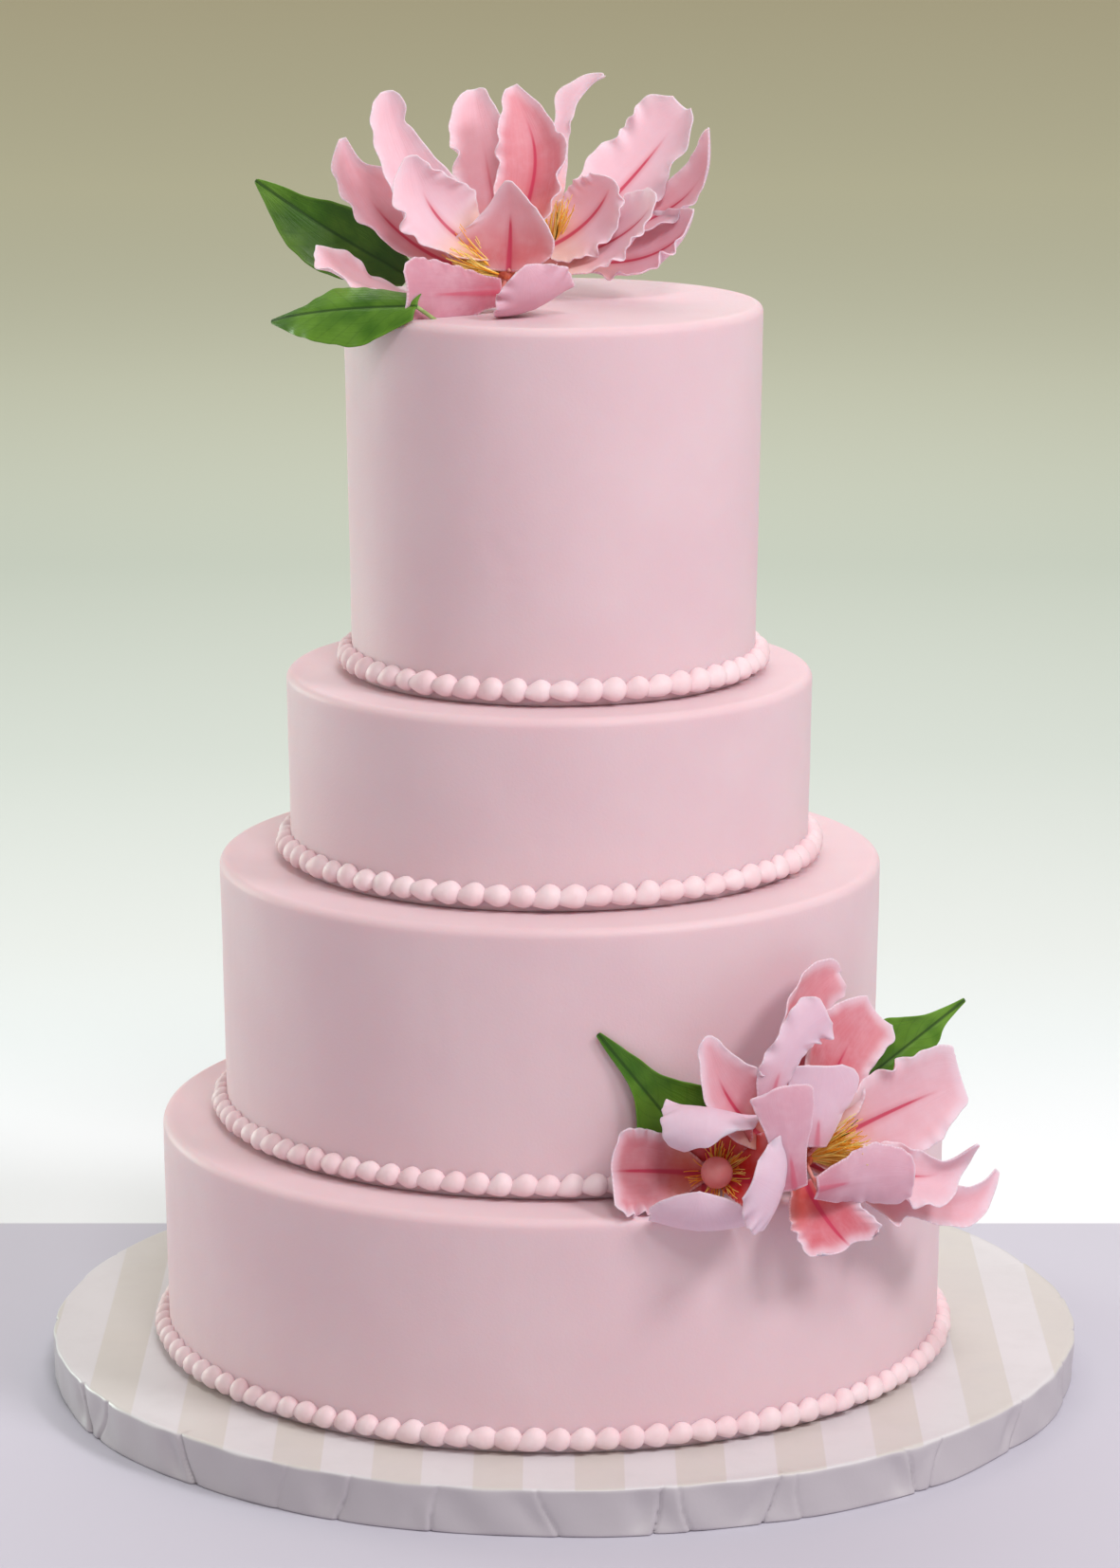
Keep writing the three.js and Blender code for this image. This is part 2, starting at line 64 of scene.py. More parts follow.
# The pleats: degrees from the front towards the right, how far the crease leans over its
# height in mm, and its depth in mm.
PLEATS = [
    (-64.9, -3.5, 1.5),
    (-60.2, 5.0, 0.7),
    (-44.6, -4.0, 1.7),
    (-31.0, 2.5, 0.5),
    (-23.5, 3.0, 0.9),
    (-13.7, 2.0, 0.7),
    (-1.9, -4.0, 0.6),
    (9.7, 2.2, 1.5),
    (12.3, -3.0, 0.8),
    (22.2, 4.5, 1.3),
    (24.9, -2.0, 0.6),
    (39.4, -3.5, 1.1),
    (43.0, 4.0, 0.9),
    (58.5, 4.0, 1.3),
    (74.0, -3.0, 1.0),
]
HIDDEN_PLEATS = 15  # the rest of the way round, evenly spaced over HIDDEN_ARC
HIDDEN_ARC = (88, 272)
# A pleat is a narrow crease, a flap that rises on one side of it, and a dent on the other.
CREASE_WIDTH = 0.9
CREASE_BEND = 0.7
FLAP_REACH = 5.0
DENT_WIDTH = 4.5
DENT_BESIDE = 7
PLEAT_FADE = 0.45  # the share of its depth that a pleat loses by the top
CREAM_PAPER = (214, 207, 201)
WHITE_PAPER = (224, 219, 222)
# Painted shade: the greyer tone of the board's side.
SHADED_SIDE_PAPER = (192, 184, 190)
SCUFFED_PAPER = (196, 188, 190)


def tint(red, green, blue):
    """An 8-bit display colour as the linear one that a shader takes."""
    shares = np.array([red, green, blue]) / 255
    linear = np.where(shares <= 0.04045, shares / 12.92, ((shares + 0.055) / 1.055) ** 2.4)
    return (*(float(v) for v in linear), 1.0)


def node(tree, kind, inputs=None, **settings):
    """A node with its settings, and its inputs by name or number: a value, or a socket to join."""
    made = tree.nodes.new(kind)
    for name, value in settings.items():
        setattr(made, name, value)
    for name, value in (inputs or {}).items():
        feed(tree, made.inputs[name], value)
    return made


def feed(tree, socket, value):
    """Sets a socket, or joins another one to it."""
    if isinstance(value, bpy.types.NodeSocket):
        tree.links.new(value, socket)
    else:
        socket.default_value = value


def sums(tree, operation, *values):
    """The result of a Math node."""
    return node(tree, "ShaderNodeMath", dict(enumerate(values)), operation=operation).outputs[0]


def grading(tree, value, low, high, low_to=0.0, high_to=1.0):
    """Eases from low_to to high_to while value goes from low to high."""
    inputs = {"Value": value, 1: low, 2: high, 3: low_to, 4: high_to}
    made = node(tree, "ShaderNodeMapRange", inputs, interpolation_type="SMOOTHSTEP")
    return made.outputs["Result"]


def blended(tree, share, first, second):
    """Two colours mixed: all first where share is 0."""
    made = node(tree, "ShaderNodeMix", data_type="RGBA")
    colour_a, colour_b = made.inputs[6:8]
    feed(tree, made.inputs["Factor"], share)
    feed(tree, colour_a, first)
    feed(tree, colour_b, second)
    return made.outputs[2]


def object_place(tree):
    """Where a point of the piece lies, in metres."""
    return node(tree, "ShaderNodeTexCoord").outputs["Object"]


def mottle(tree, place, scale, detail=2.0, roughness=0.5, stretch=(1, 1, 1)):
    """A soft cloudy noise over a place, from 0 to 1."""
    mapped = node(tree, "ShaderNodeMapping", {"Vector": place, "Scale": stretch})
    inputs = {"Vector": mapped.outputs[0], "Scale": scale, "Detail": detail, "Roughness": roughness}
    return node(tree, "ShaderNodeTexNoise", inputs).outputs["Fac"]


def finish(name, roughness, **sockets):
    """A material with one Principled shader whose plain sockets are set."""
    made = bpy.data.materials.new(name)
    made.use_nodes = True
    shader = made.node_tree.nodes["Principled BSDF"]
    shader.inputs["Roughness"].default_value = roughness
    for socket, value in sockets.items():
        shader.inputs[socket.replace("_", " ")].default_value = value
    return made, made.node_tree, shader


def relief(tree, shader, height, depth_mm):
    """Small relief from a height that runs from 0 to 1."""
    inputs = {"Strength": 1.0, "Distance": depth_mm * MM, "Height": height}
    made = node(tree, "ShaderNodeBump", inputs)
    tree.links.new(made.outputs["Normal"], shader.inputs["Normal"])


def grid_faces(rows, columns, closed_round=False):
    """The quads of a grid of rows by columns of points."""
    i = np.arange(rows - 1)[:, None]
    j = np.arange(columns if closed_round else columns - 1)[None, :]
    right = (j + 1) % columns
    quads = [i * columns + j, i * columns + right, (i + 1) * columns + right, (i + 1) * columns + j]
    return np.stack(np.broadcast_arrays(*quads), -1).reshape(-1, 4)


def mesh_of(name, points, faces, materials):
    """A smooth mesh in metres, from points in millimetres."""
    made = bpy.data.meshes.new(name)
    made.from_pydata((np.asarray(points) * MM).tolist(), [], [list(map(int, f)) for f in faces])
    for material in materials:
        made.materials.append(material)
    made.shade_smooth()
    return made


def piece(name, mesh, slot, *nodes):
    """The finished mesh as a piece of the cake, which stands for the plan's nodes."""
    made = bpy.data.objects.new(name, mesh)
    bpy.context.scene.collection.objects.link(made)
    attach(made, "root")
    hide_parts(*nodes)


def wander(x, seed, beats):
    """A smooth uneven wave along x, seeded, from about -1 to 1."""
    draw = np.random.default_rng(seed)
    made = np.zeros_like(x, dtype=float)
    for beat in beats:
        made += np.sin(2 * np.pi * (beat * x + draw.random())) * draw.uniform(0.6, 1.0)
    return made / len(beats) * 1.4


def full_turn(sides):
    """The bearings of that many points round a ring, in radians."""
    return np.linspace(0, 2 * np.pi, sides, endpoint=False)


def past_spot(turn, spot):
    """How far each bearing lies past a spot, which is in degrees from the front, in radians."""
    return (turn - np.radians(spot - 90) + np.pi) % (2 * np.pi) - np.pi


def level_ring(radius, turn, height):
    """A ring of points about the upright axis."""
    return np.stack(np.broadcast_arrays(radius * np.cos(turn), radius * np.sin(turn), height), -1)


def closed_rings(rings, first_end, last_end):
    """Rings joined into a closed shape, with a middle point at each end: points and faces."""
    sides = len(rings[0])
    points = np.concatenate([*rings, [first_end, last_end]])
    faces = [list(f) for f in grid_faces(len(rings), sides, True)]
    last = (len(rings) - 1) * sides
    for k in range(sides):
        after = (k + 1) % sides
        faces.append([after, k, len(points) - 2])
        faces.append([last + k, last + after, len(points) - 1])
    return points, faces


def pleat_depth(pleat, turn, share):
    """How far one pleat sinks the paper, at a share of the side's height."""
    spot, lean, depth = pleat
    along = past_spot(turn, spot) * BOARD_RADIUS - lean * (share - 0.5) * 2
    bent = along + CREASE_BEND * np.sin(5 * share + spot)
    crease = 0.9 * depth * np.exp(-((bent / CREASE_WIDTH) ** 2))
    flap = 1.1 * depth * np.exp(-np.abs(bent) / FLAP_REACH) * (bent > 0)
    beside = np.exp(-(((bent + DENT_BESIDE) / DENT_WIDTH) ** 2))
    dent = 1.3 * depth * beside * np.sin(np.pi * share)
    return (crease + flap + dent) * (1 - PLEAT_FADE * share)


def board_mesh(material):
    """The wrapped drum: its pleated side from the foot up, then the top in to the middle."""
    turn = full_turn(BOARD_SIDES)
    around = turn / (2 * np.pi)
    rim = BOARD_RIM + 0.5 * wander(around, 3, [5, 9, 14, 23])
    draw = np.random.default_rng(11)
    pleats = PLEATS + [
        (spot + draw.uniform(-4, 4), draw.uniform(-4, 4), draw.uniform(0.5, 1.5))
        for spot in np.linspace(*HIDDEN_ARC, HIDDEN_PLEATS)
    ]
    rings = []
    for z in SIDE_HEIGHTS:
        share = z / BOARD_THICKNESS
        sunk = PAPER_SLACK * (1 + wander(around + 0.01 * share, 5, [7, 12, 19]))
        sunk += FOOT_DRAW * (1 + wander(around, 8, [4, 11, 17])) * (1 - share) ** 2
        waves = 1 + wander(around + 0.006 * share, 9, [24, 37, 52])
        sunk += WAVE_DEPTH * waves * np.sin(np.pi * share) ** 0.5
        for pleat in pleats:
            sunk += pleat_depth(pleat, turn, share)
        over = np.clip((z - (BOARD_THICKNESS - rim)) / rim, 0, 1)
        under = np.clip((TUCK_HEIGHT - z) / TUCK_HEIGHT, 0, 1)
        sunk += rim * (1 - np.sqrt(1 - over**2)) + TUCK * under**2
        rings.append(level_ring(BOARD_RADIUS - np.clip(sunk, 0, None), turn, z))
    for radius in TOP_RINGS:
        soft = 0.16 * (wander(around, 21, [6, 10, 15]) - 1.2) * np.clip((radius - 185) / 22, 0, 1)
        rings.append(level_ring(radius, turn, BOARD_THICKNESS + soft))
    points, faces = closed_rings(rings, [0, 0, 0], [0, 0, BOARD_THICKNESS])
    return mesh_of("board_wrap", points, faces, [material])


def paper_finish():
    """Paper with wide cream stripes across the board, plain down its side, where painted shade makes it
    greyer.
    """
    made, tree, shader = finish("striped_paper", 0.38, Specular_IOR_Level=0.45)
    place = object_place(tree)
    along = node(tree, "ShaderNodeSeparateXYZ", {"Vector": place}).outputs["X"]
    # Twenty pairs more keep the count of stripes above zero over the whole board.
    along = sums(tree, "ADD", along, STRIPE_SHIFT * MM + 20 * STRIPE_PAIR * MM)
    along = sums(tree, "FRACT", sums(tree, "DIVIDE", along, STRIPE_PAIR * MM))
    rise = grading(tree, along, 0.0, 0.02)
    stripe = sums(tree, "MULTIPLY", rise, grading(tree, along, 0.49, 0.51, 1.0, 0.0))
    normal = node(tree, "ShaderNodeNewGeometry").outputs["Normal"]
    facing_up = node(tree, "ShaderNodeSeparateXYZ", {"Vector": normal}).outputs["Z"]
    stripe = sums(tree, "MULTIPLY", stripe, grading(tree, facing_up, 0.2, 0.9, 0.1, 1.0))
    cloudy = mottle(tree, place, 26, 3)
    stripe = sums(tree, "MULTIPLY", stripe, grading(tree, cloudy, 0.2, 0.8, 0.75, 1.0))
    colour = blended(tree, stripe, tint(*WHITE_PAPER), tint(*CREAM_PAPER))
    scuffed = grading(tree, mottle(tree, place, 70, 4, 0.6), 0.45, 0.75, 0.0, 0.12)
    colour = blended(tree, scuffed, colour, tint(*SCUFFED_PAPER))
    # Painted shade: the side is greyed, the more the less it faces up.
    side_shade_share = grading(tree, facing_up, 0.1, 0.85, 0.85, 0.0)
    colour = blended(tree, side_shade_share, colour, tint(*SHADED_SIDE_PAPER))
    feed(tree, shader.inputs["Base Color"], colour)
    feed(tree, shader.inputs["Roughness"], grading(tree, cloudy, 0.2, 0.8, 0.3, 0.45))
    relief(tree, shader, mottle(tree, place, 180, 4, 0.6), 0.12)
    return made


piece("wrapped_board", board_mesh(paper_finish()), "wrapped_board", "board")


# ==== The tiers ====
# Four round cakes stacked without pillars, each covered in pink buttercream that was smoothed
# with a scraper. The sides draw in slightly towards the foot and the upper rims are soft.

GAP = 0.3
CAKE_Y = -12.8
TAPER = 0.0165  # how far a side draws in for each millimetre below its top
RIM_SOFTNESS = 3.5
TIER_SIDES = 360
ROW_HEIGHT = 1.6  # between two rings of a side
FEWEST_ROWS = 24
RIM_ROWS = 8
TOP_INSETS = (6, 10, 16, 24, 36, 52, 66)  # the rings of a top, in from its rim
SMALLEST_RING = 8
TOP_SUNK = 0.2  # how far the middle of a top is sunk
TIERS = [
    {"node": "tier_4_bottom", "radius": 158.75, "top": 112.2, "x": -4.4, "beads": 105, "bead": 9.8},
    {"node": "tier_3", "radius": 133.1, "top": 218.9, "x": -5.8, "beads": 92, "bead": 9.6},
    {"node": "tier_2", "radius": 105.3, "top": 294.6, "x": -5.8, "beads": 68, "bead": 10.2},
    {"node": "tier_1_top", "radius": 83.0, "top": 441.0, "x": -4.3, "beads": 54, "bead": 10.2},
]
# Where the scraper or a finger left a mark: degrees from the front towards the right, the
# height, and the mark's width, height and depth, all in mm.
SCRAPER_MARKS = {
    "tier_1_top": [
        (-17, 357, 5, 8, 0.35),
        (-13, 350, 4, 6, 0.3),
        (-9, 360, 3, 3, 0.35),
        (-11, 343, 6, 3, 0.25),
    ],
    "tier_3": [(-20, 172, 9, 40, 0.35), (2, 190, 6, 3, 0.2), (7, 187, 4, 4, 0.25)],
    "tier_2": [(-2, 246, 5, 7, 0.3)],
}
ICING_PINK = (233, 204, 210)
ICING_DEEP = (230, 198, 205)


def socketed_tree(name, kind, inputs, outputs):
    """A node tree with named sockets: the tree, what comes in, and what goes out."""
    tree = bpy.data.node_groups.new(name, kind)
    for way, sockets in (("INPUT", inputs), ("OUTPUT", outputs)):
        for socket, carries in sockets.items():
            tree.interface.new_socket(socket, in_out=way, socket_type="NodeSocket" + carries)
    entry = tree.nodes.new("NodeGroupInput").outputs
    return tree, entry, tree.nodes.new("NodeGroupOutput").inputs


def buttercream_group():
    """Cloudy colour and fine scraped relief of smoothed buttercream."""
    outputs = {"Cloud": "Float", "Height": "Float"}
    tree, entry, leave = socketed_tree(
        "smoothed_buttercream", "ShaderNodeTree", {"Fineness": "Float"}, outputs
    )
    place = object_place(tree)
    scales = [sums(tree, "MULTIPLY", entry["Fineness"], scale) for scale in (16.0, 60.0, 900.0)]
    cloud = mottle(tree, place, scales[0], 3)
    drag = mottle(tree, place, scales[1], 2, 0.5, (1, 1, 0.22))
    grit = mottle(tree, place, scales[2], 2, 0.6)
    height = sums(tree, "ADD", sums(tree, "MULTIPLY", drag, 0.8), sums(tree, "MULTIPLY", grit, 0.2))
    feed(tree, leave["Cloud"], cloud)
    feed(tree, leave["Height"], height)
    return tree


smoothed_buttercream = buttercream_group()


def two_toned(tree, shader, share, light, deep):
    """The base colour, from light where share is 0 to deep where it is 1."""
    feed(tree, shader.inputs["Base Color"], blended(tree, share, tint(*light), tint(*deep)))


def icing_finish(name, light, deep, fineness, depth_mm, roughness, softness=0.5):
    """Buttercream of two close tones, a little see-through."""
    made, tree, shader = finish(
        name, roughness, Specular_IOR_Level=0.35, Subsurface_Weight=softness, Subsurface_Scale=0.006
    )
    shader.inputs["Subsurface Radius"].default_value = (1.0, 0.4, 0.3)
    surface = node(tree, "ShaderNodeGroup", node_tree=smoothed_buttercream)
    surface.inputs["Fineness"].default_value = fineness
    cloud = grading(tree, surface.outputs["Cloud"], 0.3, 0.7)
    two_toned(tree, shader, cloud, light, deep)
    uneven_gloss = grading(tree, cloud, 0, 1, roughness - 0.05, roughness + 0.05)
    feed(tree, shader.inputs["Roughness"], uneven_gloss)
    relief(tree, shader, surface.outputs["Height"], depth_mm)
    return made


def tier_mesh(tier, material):
    """One iced tier: its side from the foot up, its soft rim, and the top in to the middle."""
    turn = full_turn(TIER_SIDES)
    around = turn / (2 * np.pi)
    seed = len(tier["node"]) * 7 + int(tier["radius"])
    top, foot = tier["top"], tier["foot"]
    rim_foot = top - RIM_SOFTNESS
    side_rows = max(FEWEST_ROWS, int((top - foot - RIM_SOFTNESS) / ROW_HEIGHT))
    profile = []
    for z in np.linspace(foot, rim_foot, side_rows):
        profile.append((tier["radius"] - TAPER * (top - z), z))
    for bend in np.linspace(0, np.pi / 2, RIM_ROWS + 1)[1:]:
        out = tier["radius"] - TAPER * RIM_SOFTNESS - RIM_SOFTNESS * (1 - np.cos(bend))
        profile.append((out, top - RIM_SOFTNESS * (1 - np.sin(bend))))
    rings = []
    for out, z in profile:
        uneven = 0.16 * (wander(around, seed, [2, 3, 5]) - 1.3)
        uneven = uneven + 0.08 * wander(around + z / 400, seed + 1, [3, 7, 11])
        for spot, height, wide, tall, depth in SCRAPER_MARKS.get(tier["node"], []):
            along = past_spot(turn, spot) * out
            reach = (along / (wide / 2)) ** 2 + ((z - height) / (tall / 2)) ** 2
            uneven = uneven - depth * np.exp(-reach) * (1 - 0.9 * np.exp(-4 * reach))
        rings.append(level_ring(out + np.minimum(uneven, 0), turn, z))
    for inset in TOP_INSETS:
        out = tier["radius"] - inset
        if out > SMALLEST_RING:
            level = top + 0.12 * (wander(around, seed + int(out), [2, 4, 7]) - 1.2)
            rings.append(level_ring(out, turn, level))
    points, faces = closed_rings(rings, [0, 0, foot], [0, 0, top - TOP_SUNK])
    return mesh_of(tier["node"] + "_icing", points + [tier["x"], CAKE_Y, 0], faces, [material])


tier_icing = icing_finish("tier_icing", ICING_PINK, ICING_DEEP, 1.0, 0.35, 0.55)
ledge = BOARD_THICKNESS
for tier in TIERS:
    tier["foot"] = ledge + GAP
    ledge = tier["top"]
    piece(tier["node"] + "_iced", tier_mesh(tier, tier_icing), "icing", tier["node"])


# ==== The bead borders ====
# A row of buttercream beads piped round the foot of every tier with a plain round tip. Each
# bead is pressed out, then drawn off to the left, so that its tail lies under the last one.

BEAD_PINK = (246, 222, 226)
BEAD_DEEP = (240, 208, 213)
BEAD_UNEVEN = 0.1
BEAD_PROUD = 0.17  # how far a bead's middle stands off the tier, in bead sizes
BEAD_HEIGHT = 0.63  # how far its middle lies above the foot of the tier, in bead sizes
BEAD_SMALLER = 0.95  # of the size that the row is laid out for
BEAD_TWIST = 0.22  # radians that a bead may be turned from its neighbours


def bead_border_tree(material):
    """Beads with drawn tails, set round a ring, each a little unlike the next."""
    inputs = {
        "Ring Radius": "Float",
        "Beads": "Int",
        "Bead Size": "Float",
        "Unevenness": "Float",
        "Twist": "Float",
        "Middle": "Vector",
        "Seed": "Int",
    }
    tree, entry, leave = socketed_tree(
        "piped_bead_border", "GeometryNodeTree", inputs, {"Border": "Geometry"}
    )

    def threefold(value):
        return node(tree, "ShaderNodeCombineXYZ", {i: value for i in range(3)}).outputs[0]

    def scaled(vector, factor):
        inputs = {0: vector, "Scale": factor}
        return node(tree, "ShaderNodeVectorMath", inputs, operation="SCALE").outputs[0]

    def any_between(low, high, seed):
        inputs = {"Min": low, "Max": high, "Seed": seed}
        drawn = node(tree, "FunctionNodeRandomValue", inputs, data_type="FLOAT_VECTOR")
        return drawn.outputs[0]

    ball = node(tree, "GeometryNodeMeshUVSphere", {"Segments": 14, "Rings": 10, "Radius": 1.0})
    where = node(tree, "GeometryNodeInputPosition").outputs[0]
    axes = node(tree, "ShaderNodeSeparateXYZ", {"Vector": where}).outputs
    tail = sums(tree, "MAXIMUM", sums(tree, "MULTIPLY", axes["Y"], -1.0), 0.0)
    tail_squared = sums(tree, "MULTIPLY", tail, tail)
    pinch = sums(tree, "SUBTRACT", 1.0, sums(tree, "MULTIPLY", tail_squared, 0.35))
    out = sums(tree, "MULTIPLY", sums(tree, "MULTIPLY", axes["X"], pinch), 0.42)
    along = sums(tree, "MULTIPLY", axes["Y"], sums(tree, "ADD", sums(tree, "MULTIPLY", tail, 0.3), 0.53))
    up = sums(tree, "MULTIPLY", sums(tree, "MULTIPLY", axes["Z"], pinch), 0.46)
    up = sums(tree, "SUBTRACT", up, sums(tree, "MULTIPLY", tail_squared, 0.16))
    up = sums(tree, "ADD", up, sums(tree, "MULTIPLY", out, -0.2))
    up = sums(tree, "MAXIMUM", up, -0.5)
    shaped = node(tree, "ShaderNodeCombineXYZ", {"X": out, "Y": along, "Z": up}).outputs[0]
    bead = node(tree, "GeometryNodeSetPosition", {"Geometry": ball.outputs["Mesh"], "Position": shaped})
    smooth = node(tree, "GeometryNodeSetShadeSmooth", {"Geometry": bead.outputs[0]})

    ring = node(tree, "GeometryNodeMeshCircle", {"Vertices": entry["Beads"], "Radius": entry["Ring Radius"]})
    outward = node(tree, "FunctionNodeAlignRotationToVector", {"Vector": where}, axis="X", pivot_axis="Z")
    most = threefold(entry["Twist"])
    turned = any_between(scaled(most, -1.0), most, entry["Seed"])
    twist = node(tree, "FunctionNodeEulerToRotation", {"Euler": turned})
    stance = node(
        tree,
        "FunctionNodeRotateRotation",
        {"Rotation": outward.outputs[0], "Rotate By": twist.outputs[0]},
        rotation_space="LOCAL",
    )
    smaller = sums(tree, "SUBTRACT", 1.0, entry["Unevenness"])
    larger = sums(tree, "ADD", 1.0, sums(tree, "MULTIPLY", entry["Unevenness"], 0.7))
    size_seed = sums(tree, "ADD", entry["Seed"], 31)
    size = scaled(any_between(threefold(smaller), threefold(larger), size_seed), entry["Bead Size"])
    beads = node(
        tree,
        "GeometryNodeInstanceOnPoints",
        {
            "Points": ring.outputs[0],
            "Instance": smooth.outputs[0],
            "Rotation": stance.outputs[0],
            "Scale": size,
        },
    )
    set_down = node(
        tree,
        "GeometryNodeTransform",
        {"Geometry": beads.outputs[0], "Translation": entry["Middle"]},
    )
    whole = node(tree, "GeometryNodeRealizeInstances", {"Geometry": set_down.outputs[0]})
    iced = node(tree, "GeometryNodeSetMaterial", {"Geometry": whole.outputs[0], "Material": material})
    feed(tree, leave[0], iced.outputs[0])
    return tree


def grown(name, tree, values):
    """What a Geometry Nodes tree makes with these inputs, as a plain mesh."""
    empty = bpy.data.meshes.new(name)
    made = bpy.data.objects.new(name, empty)
    bpy.context.scene.collection.objects.link(made)
    modifier = made.modifiers.new("grown", "NODES")
    modifier.node_group = tree
    for item in tree.interface.items_tree:
        if item.in_out == "INPUT":
            modifier[item.identifier] = values[item.name]
    bpy.context.view_layer.update()
    evaluated = made.evaluated_get(bpy.context.evaluated_depsgraph_get())
    mesh = bpy.data.meshes.new_from_object(evaluated)
    mesh.name = name
    bpy.data.objects.remove(made)
    return mesh


bead_icing = icing_finish("bead_icing", BEAD_PINK, BEAD_DEEP, 4.0, 0.25, 0.5, 0.12)
bead_border = bead_border_tree(bead_icing)
for number, tier in enumerate(TIERS):
    foot_radius = tier["radius"] - TAPER * (tier["top"] - tier["foot"])
    border_name = tier["node"].replace("tier", "bead_border")
    border = grown(
        border_name + "_piped",
        bead_border,
        {
            "Ring Radius": (foot_radius + GAP + BEAD_PROUD * tier["bead"]) * MM,
            "Beads": tier["beads"],
            "Bead Size": BEAD_SMALLER * tier["bead"] * MM,
            "Unevenness": BEAD_UNEVEN,
            "Twist": BEAD_TWIST,
            "Middle": (tier["x"] * MM, CAKE_Y * MM, (tier["foot"] + BEAD_HEIGHT * tier["bead"]) * MM),
            "Seed": 5 + number,
        },
    )
    piece(border_name + "_piped", border, "bead_icing", border_name)


# ==== The petals ====
# Sugar petals rolled thin from gum paste, cut out, ruffled along the edges with a ball tool
# and dried over a former. The upper face is dusted pink, with a crimson line up the middle.

# What a petal has where its own entry says nothing else. left and right, where they are given,
# are the cut edges from the foot on: (share of the length, share of the half width). bends and
# hooks turn the petal forward and sideways further up: (where, over how much, degrees).
# deep paints the throat's shade at the foot of the upper face, and under paints shade on the back face.
PETAL = {
    "offset": (0, 0, 0), "start": 4, "rise": 0, "slide": 0, "lean": 60, "curl": 0, "late": 1.6,
    "sway": 0, "roll": 0, "bends": (), "hooks": (),
    "length": 60, "width": 38, "foot": 0.14, "widest": 0.58, "blunt": 1.9,
    "cup": 50, "frill": 0.8, "waves": 3, "ruffle": 42, "beats": 6.5, "nicks": 0.04,
    "line": 1.0, "line_end": 0.68, "flush_and_leaf_shade": 0.3, "glow": 0.4, "deep": 0.0, "under": 0.05,
}
PETAL_THICKNESS = 0.95
TIP_SHARE = 0.05  # the share of its half width that a plain tip keeps
WIDENING = 1.15  # the power by which a plain petal widens from its foot
SWAY_ONSET = 1.3  # the power by which the sway grows towards the tip
EDGE_SHIFT = 1.9  # radians between the frills of the left edge and the right
CALM_FOOT = 3  # the ruffles reach their full depth one part in so many up the edge
CURVE_STEPS = 10  # between two points of a cut edge
SPINE_SPARE = 1.2  # how far past its tip a spine is known, in lengths
